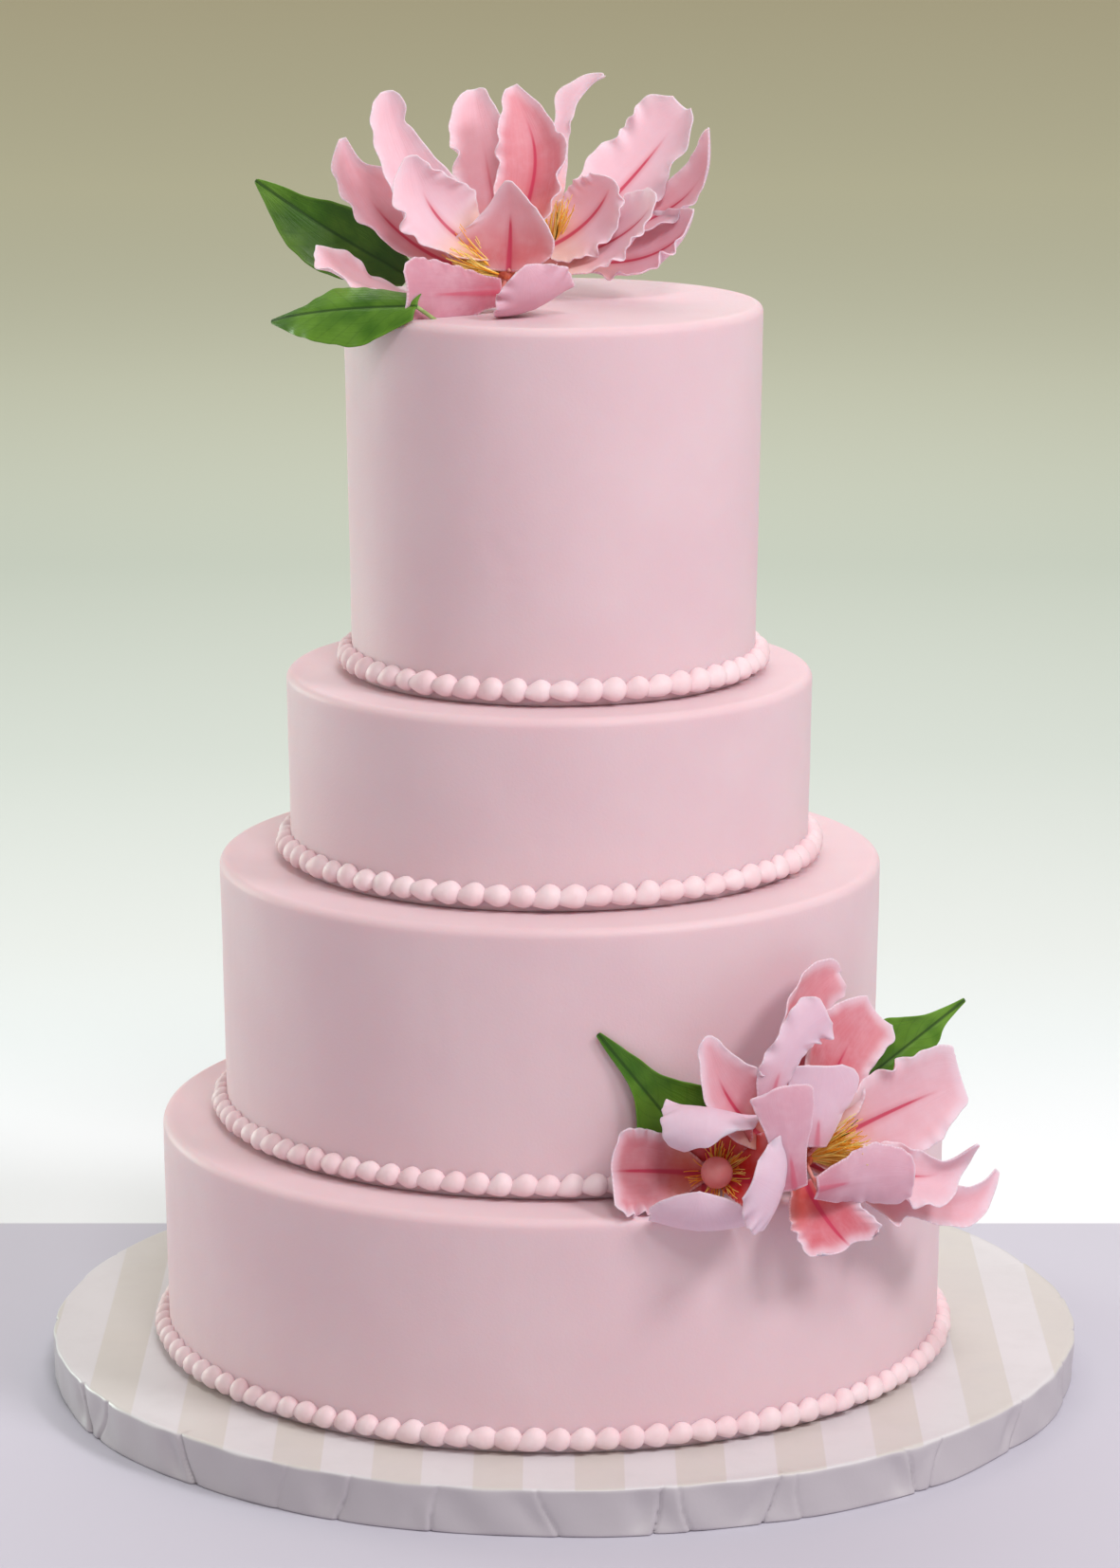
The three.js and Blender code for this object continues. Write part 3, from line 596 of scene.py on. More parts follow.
BLOOMS = {
    "top_left": {
        "at": (-22.5, -36, 454), "facing": -15, "tilt": 55,
        "petals": [
            dict(
                turn=284, rise=-3, lean=88, curl=-45, sway=48, length=94, width=36, flush_and_leaf_shade=0.45,
                left=(
                    (0.3, 0.5), (0.55, 0.62), (0.75, 0.66), (0.88, 0.56), (0.96, 0.26), (1.0, 0.08),
                ),
                right=(
                    (0.3, 0.75), (0.55, 1.0), (0.72, 0.92), (0.81, 0.6), (0.87, 0.28), (1.0, 0.1),
                ),
            ),
            dict(
                turn=299, lean=68, curl=-35, sway=40, length=87, width=36, cup=45, line=0.6,
                flush_and_leaf_shade=0.1,
                left=(
                    (0.25, 0.8), (0.5, 0.85), (0.7, 0.72), (0.85, 0.62), (0.95, 0.42), (1.0, 0.15),
                ),
                right=(
                    (0.25, 0.6), (0.45, 0.75), (0.65, 0.55), (0.8, 0.34), (0.85, 0.24),
                    (0.91, 0.38), (0.97, 0.3), (1.0, 0.15),
                ),
            ),
            dict(
                turn=341, rise=-3, lean=78, curl=-15, length=88, width=36, line=0.4, flush_and_leaf_shade=0.35,
                left=(
                    (0.4, 0.75), (0.6, 0.8), (0.75, 0.76), (0.88, 0.66), (0.96, 0.42), (1.0, 0.15),
                ),
                right=((0.4, 0.8), (0.6, 0.9), (0.8, 0.6), (0.92, 0.4), (0.98, 0.3), (1.0, 0.15)),
            ),
            dict(
                turn=7, lean=70, curl=-15, sway=-5, hooks=((0.4, 0.5, -38),), length=80, cup=60,
                line_end=0.8, flush_and_leaf_shade=0.85,
                left=((0.3, 0.7), (0.55, 0.85), (0.75, 0.85), (0.9, 0.5), (0.98, 0.3), (1.0, 0.1)),
                right=(
                    (0.3, 0.75), (0.5, 0.85), (0.66, 0.8), (0.7, 0.6), (0.85, 0.42), (1.0, 0.15),
                ),
            ),
            dict(
                offset=(0, 4, 6), turn=267, rise=1, curl=-50, sway=75, length=55, cup_left=38,
                cup_right=35, flush_and_leaf_shade=0.0, glow=0.9,
                left=((0.2, 0.6), (0.45, 0.95), (0.65, 0.9), (0.85, 0.6), (1.0, 0.15)),
                right=((0.2, 0.6), (0.45, 0.95), (0.65, 0.8), (0.85, 0.45), (1.0, 0.12)),
            ),
            dict(
                offset=(0, -6, 0), turn=0, lean=51, curl=-45, length=36, width=41, foot=0.4,
                cup_left=15, cup_right=35, frill=0.4, ruffle=8, nicks=0.01, line_end=0.6,
                flush_and_leaf_shade=0.42, glow=0, deep=0.5,
                left=(
                    (0.08, 1.05), (0.2, 1.22), (0.35, 1.05), (0.5, 0.76), (0.7, 0.44), (0.9, 0.2),
                    (1.0, 0.06),
                ),
                right=(
                    (0.06, 0.7), (0.16, 0.92), (0.3, 1.0), (0.5, 0.85), (0.7, 0.6), (0.9, 0.28),
                    (1.0, 0.1),
                ),
            ),
            dict(
                offset=(-2, -12, -5), facing=205, tilt=0, turn=88, start=0, lean=92, curl=12,
                length=42, width=27, foot=0.4, cup=20, line_end=1.4, under=0.62,
                left=((0.15, 0.5), (0.4, 0.75), (0.7, 1.0), (0.95, 1.05), (1.03, 0.7)),
                right=((0.15, 0.5), (0.4, 0.85), (0.7, 1.05), (0.93, 1.05), (1.03, 0.6)),
            ),
            dict(
                turn=142, lean=104, curl=-160, late=1.5, length=49, width=34, widest=0.65, blunt=3,
                cup=20, line_end=0.9, under=0.38,
            ),
            dict(
                turn=249, rise=-5, lean=95.5, curl=-47, sway=56, roll=-40, length=79, widest=0.7,
                blunt=3, cup=10, frill=2.2, waves=4,
            ),
        ],
    },
    "top_right": {
        "at": (-4.9, 10, 458.7), "facing": 20, "tilt": 58,
        "petals": [
            dict(
                turn=6, lean=38, curl=12, hooks=((0.45, 0.3, 55), (0.85, 0.15, 60)), roll=-10,
                length=75, width=22, cup=25, line=0, flush_and_leaf_shade=0.1, under=0,
                left=(
                    (0.3, 0.4), (0.55, 0.15), (0.66, 0.2), (0.76, 0.7), (0.86, 0.5), (0.95, 0.25),
                    (1.0, 0.1),
                ),
                right=(
                    (0.3, 0.5), (0.6, 0.55), (0.7, 0.4), (0.8, 0.14), (0.95, 0.16), (1.02, 0.12),
                ),
            ),
            dict(
                turn=60, rise=-2, lean=68, curl=-32, length=79, width=46, cup=35, line_end=0.8,
                flush_and_leaf_shade=0.0,
                left=(
                    (0.2, 0.5), (0.45, 0.78), (0.6, 0.82), (0.68, 0.7), (0.8, 0.78), (0.95, 0.66),
                    (1.02, 0.3),
                ),
                right=(
                    (0.3, 0.6), (0.5, 0.75), (0.62, 0.8), (0.7, 0.55), (0.85, 0.55), (0.97, 0.35),
                    (1.02, 0.12),
                ),
            ),
            dict(
                turn=87, rise=-5, lean=66, curl=-10, bends=((0.4, 0.55, -70),), length=92, width=21,
                widest=0.5, blunt=2.6, cup=45, flush_and_leaf_shade=0.25,
            ),
            dict(
                turn=108, rise=-3, lean=92, curl=-98, length=66, width=40, foot=0.4, widest=0.55,
                cup=40, line_end=0.85, flush_and_leaf_shade=0.15,
            ),
            dict(
                offset=(-2, -4, -1), turn=106, slide=4, lean=62, curl=-55, length=52, foot=0.4,
                cup=25, line_end=0.85, flush_and_leaf_shade=0.1,
                left=(
                    (0.1, 0.55), (0.3, 0.8), (0.55, 0.95), (0.75, 0.85), (0.92, 0.55), (1.0, 0.15),
                ),
                right=(
                    (0.1, 0.75), (0.25, 1.0), (0.5, 1.05), (0.75, 0.85), (0.92, 0.4), (1.0, 0.12),
                ),
            ),
            dict(
                offset=(-5, -6, -2), turn=92, rise=2, slide=-3, lean=57, curl=-55, sway=-30,
                length=40, width=36, foot=0.5, cup=25, line_end=0.85, flush_and_leaf_shade=0.1,
                left=(
                    (0.1, 0.65), (0.3, 0.85), (0.55, 0.95), (0.75, 0.85), (0.92, 0.55), (1.0, 0.2),
                ),
                right=(
                    (0.1, 0.85), (0.25, 1.05), (0.5, 1.05), (0.75, 0.8), (0.92, 0.45), (1.0, 0.15),
                ),
            ),
        ],
    },
    "step_left": {
        "at": (58.5, -150, 124.1), "facing": -5, "tilt": 22,
        "petals": [
            dict(
                turn=272, lean=79, curl=-30, sway=-10, length=39, width=34, cup=30, line_end=0.95,
                flush_and_leaf_shade=0.85, glow=0.6, deep=0.6,
                left=((0.2, 0.5), (0.5, 0.95), (0.75, 1.05), (0.95, 1.1), (1.1, 0.8)),
                right=((0.2, 0.5), (0.5, 0.9), (0.75, 0.95), (0.9, 0.95), (0.96, 0.6)),
            ),
            dict(
                turn=8, slide=-5, lean=66, curl=-190, late=1.8, length=52, foot=0.3, cup=12, deep=1,
                left=((0.3, 0.7), (0.6, 0.92), (0.85, 0.92), (1.05, 0.75), (1.12, 0.4)),
                right=(
                    (0.14, 0.7), (0.3, 0.85), (0.6, 0.92), (0.7, 0.95), (0.78, 0.85), (0.84, 0.4),
                ),
            ),
            dict(
                turn=102, lean=69, curl=-150, late=1.8, length=53, foot=0.3, cup=25, deep=1,
                left=((0.14, 0.85), (0.3, 1.05), (0.6, 1.15), (0.8, 0.95), (0.93, 0.7), (1.0, 0.3)),
                right=((0.3, 0.7), (0.6, 0.95), (0.85, 1.1), (1.0, 0.9), (1.05, 0.5)),
            ),
            dict(
                turn=181, slide=5, lean=98, curl=-185, late=1.1, length=48, widest=0.65, blunt=4,
                cup=18, ruffle=12, deep=0.6,
            ),
        ],
    },
    "step_right": {
        "at": (91.7, -142, 128.1), "facing": 56, "tilt": 20,
        "petals": [
            dict(
                offset=(-11, -6, 6), facing=15, tilt=5, turn=308, start=0, lean=80, curl=10,
                sway=48, length=56, width=30, cup=40, flush_and_leaf_shade=0.5, glow=0.6,
                left=((0.3, 0.6), (0.6, 0.65), (0.8, 0.45), (0.95, 0.3), (1.0, 0.1)),
                right=((0.2, 0.7), (0.45, 1.2), (0.65, 1.05), (0.82, 0.6), (0.95, 0.3), (1.0, 0.1)),
            ),
            dict(
                turn=359, rise=-6, lean=72, curl=15, sway=84, length=82, width=42, cup_left=40,
                cup_right=-5, ruffle=20, flush_and_leaf_shade=0.9,
                left=((0.3, 0.7), (0.5, 0.95), (0.7, 0.85), (0.85, 0.6), (0.97, 0.3), (1.02, 0.0)),
                right=(
                    (0.3, 0.8), (0.5, 0.95), (0.68, 0.62), (0.85, 0.42), (0.98, 0.45), (1.03, 0.3),
                ),
            ),
            dict(
                offset=(-14, -18, 24), facing=200, tilt=0, turn=350, start=0, lean=84, sway=-60,
                length=45, width=22, foot=0.4, cup=30, frill=2.4, waves=5, nicks=0.07,
                left=((0.3, 0.6), (0.5, 0.65), (0.7, 0.7), (0.85, 0.95), (1.0, 0.9), (1.05, 0.5)),
                right=((0.3, 0.7), (0.5, 0.65), (0.7, 0.75), (0.9, 0.95), (1.0, 0.6)),
            ),
            dict(
                turn=31, rise=3, lean=75, sway=34, length=64, width=42, cup_left=18, cup_right=40,
                frill=0.5, ruffle=18, flush_and_leaf_shade=1.0, glow=0.5,
                left=((0.3, 0.85), (0.5, 1.05), (0.66, 1.05), (0.8, 0.75), (0.92, 0.5), (1.0, 0.3)),
                right=((0.3, 0.7), (0.6, 0.68), (0.8, 0.66), (0.95, 0.7), (1.02, 0.5)),
            ),
            dict(
                offset=(-5, -30, -3), facing=200, tilt=10, turn=10, start=0, lean=85, curl=-10,
                length=41, width=25, foot=0.45, cup=15, frill=0.3, ruffle=6, nicks=0.01, under=0.45,
                left=((0.3, 0.55), (0.6, 0.9), (0.8, 1.1), (0.93, 1.05), (0.98, 0.6)),
                right=((0.3, 0.5), (0.6, 0.65), (0.85, 0.85), (0.95, 0.9), (0.96, 0.5)),
            ),
            dict(
                offset=(4, -11, 8), facing=205, tilt=-5, turn=352, start=0, lean=86, curl=14,
                length=31, width=27, foot=0.35, cup=18, frill=0.3, ruffle=6, nicks=0.01,
                left=((0.3, 0.75), (0.6, 1.15), (0.8, 1.3), (0.94, 1.1), (1.02, 0.6)),
                right=((0.3, 0.6), (0.6, 0.9), (0.85, 1.0), (0.97, 0.85), (1.0, 0.5)),
            ),
            dict(
                turn=79, rise=-2, lean=58, sway=9, length=73, width=42, cup=22, line_end=0.8,
                glow=0.7,
                left=(
                    (0.2, 0.4), (0.45, 0.75), (0.62, 0.86), (0.8, 0.84), (0.98, 0.75), (1.0, 0.5),
                ),
                right=((0.2, 0.5), (0.5, 0.9), (0.7, 0.9), (0.85, 0.65), (0.97, 0.45), (1.0, 0.35)),
            ),
            dict(
                offset=(4, -24, -5), facing=205, tilt=10, turn=270, start=0, lean=80, curl=20,
                length=43, width=24, foot=0.4, cup=30, ruffle=12, under=0.36,
                left=((0.3, 0.8), (0.6, 1.0), (0.85, 1.25), (1.0, 1.0), (1.02, 0.5)),
                right=((0.3, 0.8), (0.6, 1.1), (0.85, 0.9), (0.95, 0.65), (1.0, 0.3)),
            ),
            dict(
                turn=123, rise=3, lean=66, curl=-10, bends=((0.6, 0.4, -40),), sway=-22,
                hooks=((0.6, 0.35, -90),), length=73, width=28, cup=45, flush_and_leaf_shade=0.2,
                left=((0.3, 0.8), (0.5, 0.9), (0.7, 0.55), (0.85, 0.3), (1.0, 0.12)),
                right=((0.3, 0.8), (0.5, 1.0), (0.7, 0.9), (0.8, 0.45), (0.9, 0.35), (1.0, 0.12)),
            ),
            dict(
                turn=126, rise=-2, lean=76, curl=-15, sway=-15, hooks=((0.65, 0.35, -65),),
                length=96, width=26, cup=45, flush_and_leaf_shade=0.4,
                left=((0.3, 0.8), (0.5, 0.8), (0.75, 0.6), (0.88, 0.35), (1.0, 0.12)),
                right=((0.3, 0.8), (0.42, 1.3), (0.5, 0.8), (0.75, 0.8), (0.88, 0.5), (1.0, 0.12)),
            ),
            dict(
                offset=(0, -8, -7), facing=20, tilt=15, turn=161, start=0, lean=82, curl=8,
                sway=-25, length=30, width=34, foot=0.4, cup=25, line_end=1.0, flush_and_leaf_shade=1.2, deep=0.7,
                left=((0.25, 0.65), (0.6, 0.8), (0.9, 0.85), (1.2, 0.8), (1.5, 0.62)),
                right=((0.2, 0.7), (0.4, 0.88), (0.6, 0.92), (0.74, 0.88), (0.82, 0.6)),
            ),
        ],
    },
}
WIRE_RADIUS = 0.8
WIRE_STEPS = 6
PLUG_RADIUS = 3.6
PETAL_ROWS = 72
PETAL_COLUMNS = 30


def bloom_axes(facing, tilt):
    """The three directions of a bloom: out along its axis, to its upper side, and to its right."""
    f, t = np.radians(facing), np.radians(tilt)
    level = np.array([np.sin(f), -np.cos(f), 0.0])
    axis = level * np.cos(t) + np.array([0, 0, np.sin(t)])
    upper = -level * np.sin(t) + np.array([0, 0, np.cos(t)])
    return axis, upper, np.cross(upper, axis)


def unit(vectors):
    return vectors / np.maximum(np.linalg.norm(vectors, axis=-1, keepdims=True), 1e-9)


def eased(x, start, reach):
    """From 0 to 1 while x goes from start over reach."""
    f = np.clip((x - start) / reach, 0, 1)
    return f * f * (3 - 2 * f)


def smooth_curve(points):
    """A curve that runs smoothly through points."""
    p = np.array(points, float)
    p = np.concatenate([[2 * p[0] - p[1]], p, [2 * p[-1] - p[-2]]])
    f = np.linspace(0, 1, CURVE_STEPS, endpoint=False)[:, None]
    a, b, c, d = p[:-3, None], p[1:-2, None], p[2:-1, None], p[3:, None]
    made = b + 0.5 * f * (c - a + f * (2 * a - 5 * b + 4 * c - d + f * (3 * (b - c) + d - a)))
    return np.concatenate([made.reshape(-1, 2), p[-2:-1]])


def petal_edge(p, side, u):
    """Where u of a cut edge is: its shares of the petal's length and of its half width."""
    if side in p:
        flat = smooth_curve([(0, p["foot"]), *p[side]])
    else:
        s = 1 - (1 - np.linspace(0, 1, 61)) ** 1.5
        narrow = np.sin(np.pi / 2 * np.minimum(s / p["widest"], 1)) ** WIDENING
        past = np.clip((s - p["widest"]) / (1 - p["widest"]), 0, 1)
        closing = np.maximum((1 - past ** p["blunt"]) ** 0.8, TIP_SHARE)
        opening = p["foot"] + (1 - p["foot"]) * narrow
        flat = np.stack([s, np.where(s < p["widest"], opening, closing)], 1)
    strides = np.linalg.norm(np.diff(flat * [p["length"], p["width"] / 2], axis=0), axis=1)
    gone = np.concatenate([[0], np.cumsum(strides)])
    return np.interp(u * gone[-1], gone, flat[:, 0]), np.interp(u * gone[-1], gone, flat[:, 1])


def petal_sheet(bloom, petal, seed, rows, columns, crease=0.35):
    """A petal's middle surface as rows from foot to tip, its thickness, and where each point is."""
    p = {**PETAL, **petal}
    axis, upper, side = bloom_axes(p.get("facing", bloom["facing"]), p.get("tilt", bloom["tilt"]))

    def around(turn):
        return np.cos(turn)[..., None] * upper + np.sin(turn)[..., None] * side

    def directions(s):
        lean = p["lean"] + p["curl"] * s ** p["late"]
        for where, over_length, degrees in p["bends"]:
            lean = lean + degrees * eased(s, where, over_length)
        turn = p["turn"] + p["sway"] * s**SWAY_ONSET
        for where, over_length, degrees in p["hooks"]:
            turn = turn + degrees * eased(s, where, over_length)
        lean = np.radians(lean)[..., None]
        out = around(np.radians(turn))
        return axis * np.cos(lean) + out * np.sin(lean), axis * np.sin(lean) - out * np.cos(lean)

    turn = np.radians(np.array(float(p["turn"])))
    start = np.array(bloom["at"], float) + np.array(p["offset"], float) + axis * p["rise"]
    start = start + around(turn) * p["start"] + around(turn + np.pi / 2) * p["slide"]

    spots = np.linspace(0, SPINE_SPARE, 161)
    strides = directions(spots[:-1] + spots[1] / 2)[0] * spots[1] * p["length"]
    spine = start + np.concatenate([np.zeros((1, 3)), np.cumsum(strides, 0)])
    along, inward = directions(spots)
    roll = np.radians(p["roll"])
    flat = np.cross(along, inward)
    across = flat * np.cos(roll) + inward * np.sin(roll)
    lifted = inward * np.cos(roll) - flat * np.sin(roll)

    u = 1 - (1 - np.linspace(0, 1, rows + 1)) ** 1.2
    half_columns = np.linspace(0, 1, columns // 2 + 1)
    a = 0.6 * half_columns + 0.4 * np.sin(np.pi / 2 * half_columns)
    halves = []
    for sign, edge_side in ((-1, "left"), (1, "right")):
        edge_s, share = petal_edge(p, edge_side, u)
        grow = np.minimum(1, 2.5 * share) * np.minimum(1, CALM_FOOT * u)
        nicks = p["nicks"] * wander(u, seed + 1 + sign, [2.7, 5.3, 8.9]) * grow
        half = (p["width"] / 2 * share * (1 + nicks))[:, None]
        bursts = np.clip(0.55 + 0.75 * wander(u, seed + 20 + sign, [1.1, 1.9]), 0.12, 1.2)
        beats = [p["beats"] * f for f in (0.62, 1.0, 1.37)]
        edge = p["ruffle"] * bursts * wander(u, seed + 4 + sign, beats) * grow
        bend = p.get("cup_" + edge_side, p["cup"]) * a[None, :]
        bend = bend + edge[:, None] * eased(a, 0.5, 0.5)[None, :]
        bend = np.radians(bend)
        gaps = np.diff(a)[None, :]
        mid = (bend[:, 1:] + bend[:, :-1]) / 2
        zero = np.zeros((len(u), 1))
        over = np.concatenate([zero, np.cumsum(np.cos(mid) * gaps, 1)], 1) * half
        lift = np.concatenate([zero, np.cumsum(np.sin(mid) * gaps, 1)], 1) * half
        wave = 2 * np.pi * p["waves"] * u[:, None] + (EDGE_SHIFT if sign < 0 else 0)
        frilled = np.sin(wave) * grow[:, None] * bursts[:, None]
        lift = lift + 0.6 * p["frill"] * (a**3)[None, :] * frilled
        s = u[:, None] + (edge_s - u)[:, None] * (a**2)[None, :]
        halves.append((over, lift, s))
    t = np.broadcast_to(np.concatenate([-a[:0:-1], a]), (len(u), columns // 2 * 2 + 1))
    over = np.concatenate([-halves[0][0][:, :0:-1], halves[1][0]], 1)
    lift, s = (np.concatenate([halves[0][k][:, :0:-1], halves[1][k]], 1) for k in (1, 2))
    lift = lift + 0.45 * wander(s, seed + 8, [1.3, 2.1]) * t**2 * np.minimum(1, CALM_FOOT * s)
    lift = lift - crease * np.exp(-((over / 1.3) ** 2)) * np.clip(1.15 - s, 0, 1)

    def at(table):
        return np.stack([np.interp(s, spots, table[:, k]) for k in range(3)], -1)

    middle = at(spine) + at(across) * over[..., None] + at(lifted) * lift[..., None]
    thick = PETAL_THICKNESS * (1.05 - 0.4 * t**2) * (1 - 0.15 * s)
    return p, middle, thick, t, s, over


def closed_sheet(middle, thick):
    """Both faces of a sheet and its rounded rim: points, faces, and which grid point each is of."""
    rows, columns = middle.shape[:2]
    u = np.gradient(middle, axis=0)
    v = np.gradient(middle, axis=1)
    normal = unit(np.cross(v, u))
    count = rows * columns
    grid = np.arange(count).reshape(rows, columns)
    rim = np.concatenate([grid[0, :-1], grid[:-1, -1], grid[-1, :0:-1], grid[:0:-1, 0]])
    within = np.pad(grid[1:-1, 1:-1], 1, mode="edge").ravel()[rim]
    flat = middle.reshape(-1, 3)
    proud = unit(flat[rim] - flat[within]) * thick.ravel()[rim][:, None] * 0.45
    points = [(middle + normal * thick[..., None] * f).reshape(-1, 3) for f in (0.5, -0.5)]
    points = np.concatenate([*points, flat[rim] + proud])
    inner = grid_faces(rows, columns)
    after = np.roll(rim, -1)
    lip = 2 * count + np.arange(len(rim))
    lip_after = np.roll(lip, -1)
    upper_lip = np.stack([rim, lip, lip_after, after], -1)
    lower_lip = np.stack([lip, rim + count, after + count, lip_after], -1)
    faces = np.concatenate([inner, inner[:, ::-1] + count, upper_lip, lower_lip])
    return points, faces, np.concatenate([np.arange(count), np.arange(count), rim])


def tube(path, radii, sides=8):
    """A closed round tube along a path: points and faces."""
    path = np.asarray(path, float)
    way = unit(np.gradient(path, axis=0))
    hint = np.array([0.0, 0.0, 1.0]) if abs(way[0][2]) < 0.9 else np.array([1.0, 0.0, 0.0])
    first = unit(np.cross(way, hint))
    second = np.cross(way, first)
    turn = full_turn(sides)
    ring = np.cos(turn)[None, :, None] * first[:, None] + np.sin(turn)[None, :, None] * second[:, None]
    rings = path[:, None] + ring * np.asarray(radii, float)[:, None, None]
    return closed_rings(rings, path[0], path[-1])


def outward(points, faces):
    """The faces turned so that the closed shape has a positive volume."""
    threes = [f[[0, k, k + 1]] for f in map(np.asarray, faces) for k in range(1, len(f) - 1)]
    corners = points[np.array(threes)]
    volume = np.einsum("ij,ij->", corners[:, 0], np.cross(corners[:, 1], corners[:, 2]))
    return [list(map(int, f)) for f in (faces if volume > 0 else [f[::-1] for f in faces])]


def sheet_mesh(name, bloom, petal, seed, materials, wired_to, crease=0.35, veins=0.0):
    """A petal or leaf, with the taped wire that holds it where wired_to gives its other end."""
    p, middle, thick, t, s, over = petal_sheet(bloom, petal, seed, PETAL_ROWS, PETAL_COLUMNS, crease)
    if veins:
        u = np.gradient(middle, axis=0)
        v = np.gradient(middle, axis=1)
        slant = s * 9.0 - np.abs(t) * 2.2
        fold = veins * (np.abs((slant % 1) - 0.5) * 2) ** 2
        fold = fold * (1 - np.abs(t) ** 3) * np.minimum(1, 4 * np.abs(t))
        middle = middle - unit(np.cross(v, u)) * fold[..., None]
    points, faces, origin = closed_sheet(middle, thick)
    faces = outward(points, faces)
    blade_faces = len(faces)
    extra = 0
    if wired_to is not None:
        foot = middle[0, middle.shape[1] // 2]
        end = np.array(wired_to, float)
        path = foot + (end - foot) * np.linspace(0, 1, WIRE_STEPS)[:, None]
        wire_points, wire_faces = tube(path, [WIRE_RADIUS] * WIRE_STEPS)
        wire_faces = outward(wire_points, wire_faces)
        faces = faces + [[k + len(points) for k in f] for f in wire_faces]
        points = np.concatenate([points, wire_points])
        extra = len(wire_points)
    mesh = mesh_of(name, points, faces, materials)
    flat = middle.reshape(-1, 3)
    rim_points = flat[origin[2 * t.size :]][::2]
    from_rim = np.sqrt(((flat[:, None] - rim_points[None]) ** 2).sum(-1)).min(1)
    side = np.full(len(origin), 0.5)
    side[: t.size] = 1.0
    side[t.size : 2 * t.size] = 0.0
    none = np.zeros(extra)
    values = {
        "across": np.concatenate([t.ravel()[origin], none]),
        "reach": np.concatenate([s.ravel()[origin], none]),
        "from_midrib": np.concatenate([over.ravel()[origin], none]),
        "from_rim": np.concatenate([from_rim[origin], none]),
        "dusted_face": np.concatenate([side, none]),
    }
    for key in ("line", "line_end", "flush_and_leaf_shade", "glow", "deep", "under"):
        values[key] = np.full(len(points), float(p[key]))
    for key, value in values.items():
        layer = mesh.attributes.new(key, "FLOAT", "POINT")
        layer.data.foreach_set("value", value.astype(np.float32))
    slots = np.zeros(len(faces), np.int32)
    slots[blade_faces:] = 1
    mesh.polygons.foreach_set("material_index", slots)
    mesh.update()
    return mesh


def carried(tree, name):
    """A number that the mesh carries at each point."""
    return node(tree, "ShaderNodeAttribute", attribute_name=name).outputs["Fac"]


def gum_paste_group():
    """Fine lengthwise veins and a powdery grain, in the sheet's own across and reach."""
    inputs = {"Across": "Float", "Reach": "Float"}
    outputs = {"Veins": "Float", "Powder": "Float", "Height": "Float"}
    tree, entry, leave = socketed_tree("rolled_gum_paste", "ShaderNodeTree", inputs, outputs)
    wide = sums(tree, "MULTIPLY", entry["Across"], 9.0)
    long = sums(tree, "MULTIPLY", entry["Reach"], 1.1)
    spread = node(tree, "ShaderNodeCombineXYZ", {"X": wide, "Y": long}).outputs[0]
    veins = mottle(tree, spread, 1.6, 3, 0.6)
    place = object_place(tree)
    powder = mottle(tree, place, 120, 3, 0.6)
    grit = mottle(tree, place, 1500, 2, 0.6)
    height = sums(tree, "ADD", sums(tree, "MULTIPLY", veins, 0.85), sums(tree, "MULTIPLY", grit, 0.15))
    feed(tree, leave["Veins"], veins)
    feed(tree, leave["Powder"], powder)
    feed(tree, leave["Height"], height)
    return tree


rolled_gum_paste = gum_paste_group()

# Pale tone of the edges and the powder, and also of the painted highlight along the rim.
PETAL_PALE = (246, 222, 234)
PETAL_PINK = (240, 196, 208)
PETAL_SALMON = (208, 100, 112)
PETAL_BACK = (230, 195, 212)
# The back face's painted shade.
PETAL_BACK_SHADE = (184, 104, 122)
PETAL_LINE = (198, 52, 88)
PETAL_GLOW = (255, 186, 132)
# The throat's painted shade, a deep red.
PETAL_THROAT_SHADE = (204, 54, 48)
ROSE_TAPE = ((226, 160, 150), (200, 112, 104))
GREEN_TAPE = ((168, 190, 120), (128, 158, 88))


def line_share_of(tree, reach, dusted):
    """The crimson line up the middle: how much of it shows at each point."""
    strength = grading(tree, dusted, 0.0, 1.0, 0.5, 1.0)
    line_ends = sums(tree, "MULTIPLY", carried(tree, "line_end"), strength)
    done = sums(tree, "DIVIDE", reach, line_ends)
    width = grading(tree, done, 0.0, 1.0, 1.7, 0.7)
    off_line = sums(tree, "ABSOLUTE", carried(tree, "from_midrib"))
    off_line = sums(tree, "DIVIDE", off_line, width)
    core = grading(tree, off_line, 0.2, 1.1, 0.8, 0.0)
    halo = grading(tree, off_line, 0.5, 3.5, 0.3, 0.0)
    mask = sums(tree, "ADD", core, halo)
    mask = sums(tree, "MULTIPLY", mask, grading(tree, done, 0.75, 1.1, 1.0, 0.0))
    mask = sums(tree, "MULTIPLY", mask, carried(tree, "line"))
    return sums(tree, "MINIMUM", sums(tree, "MULTIPLY", mask, strength), 0.9)


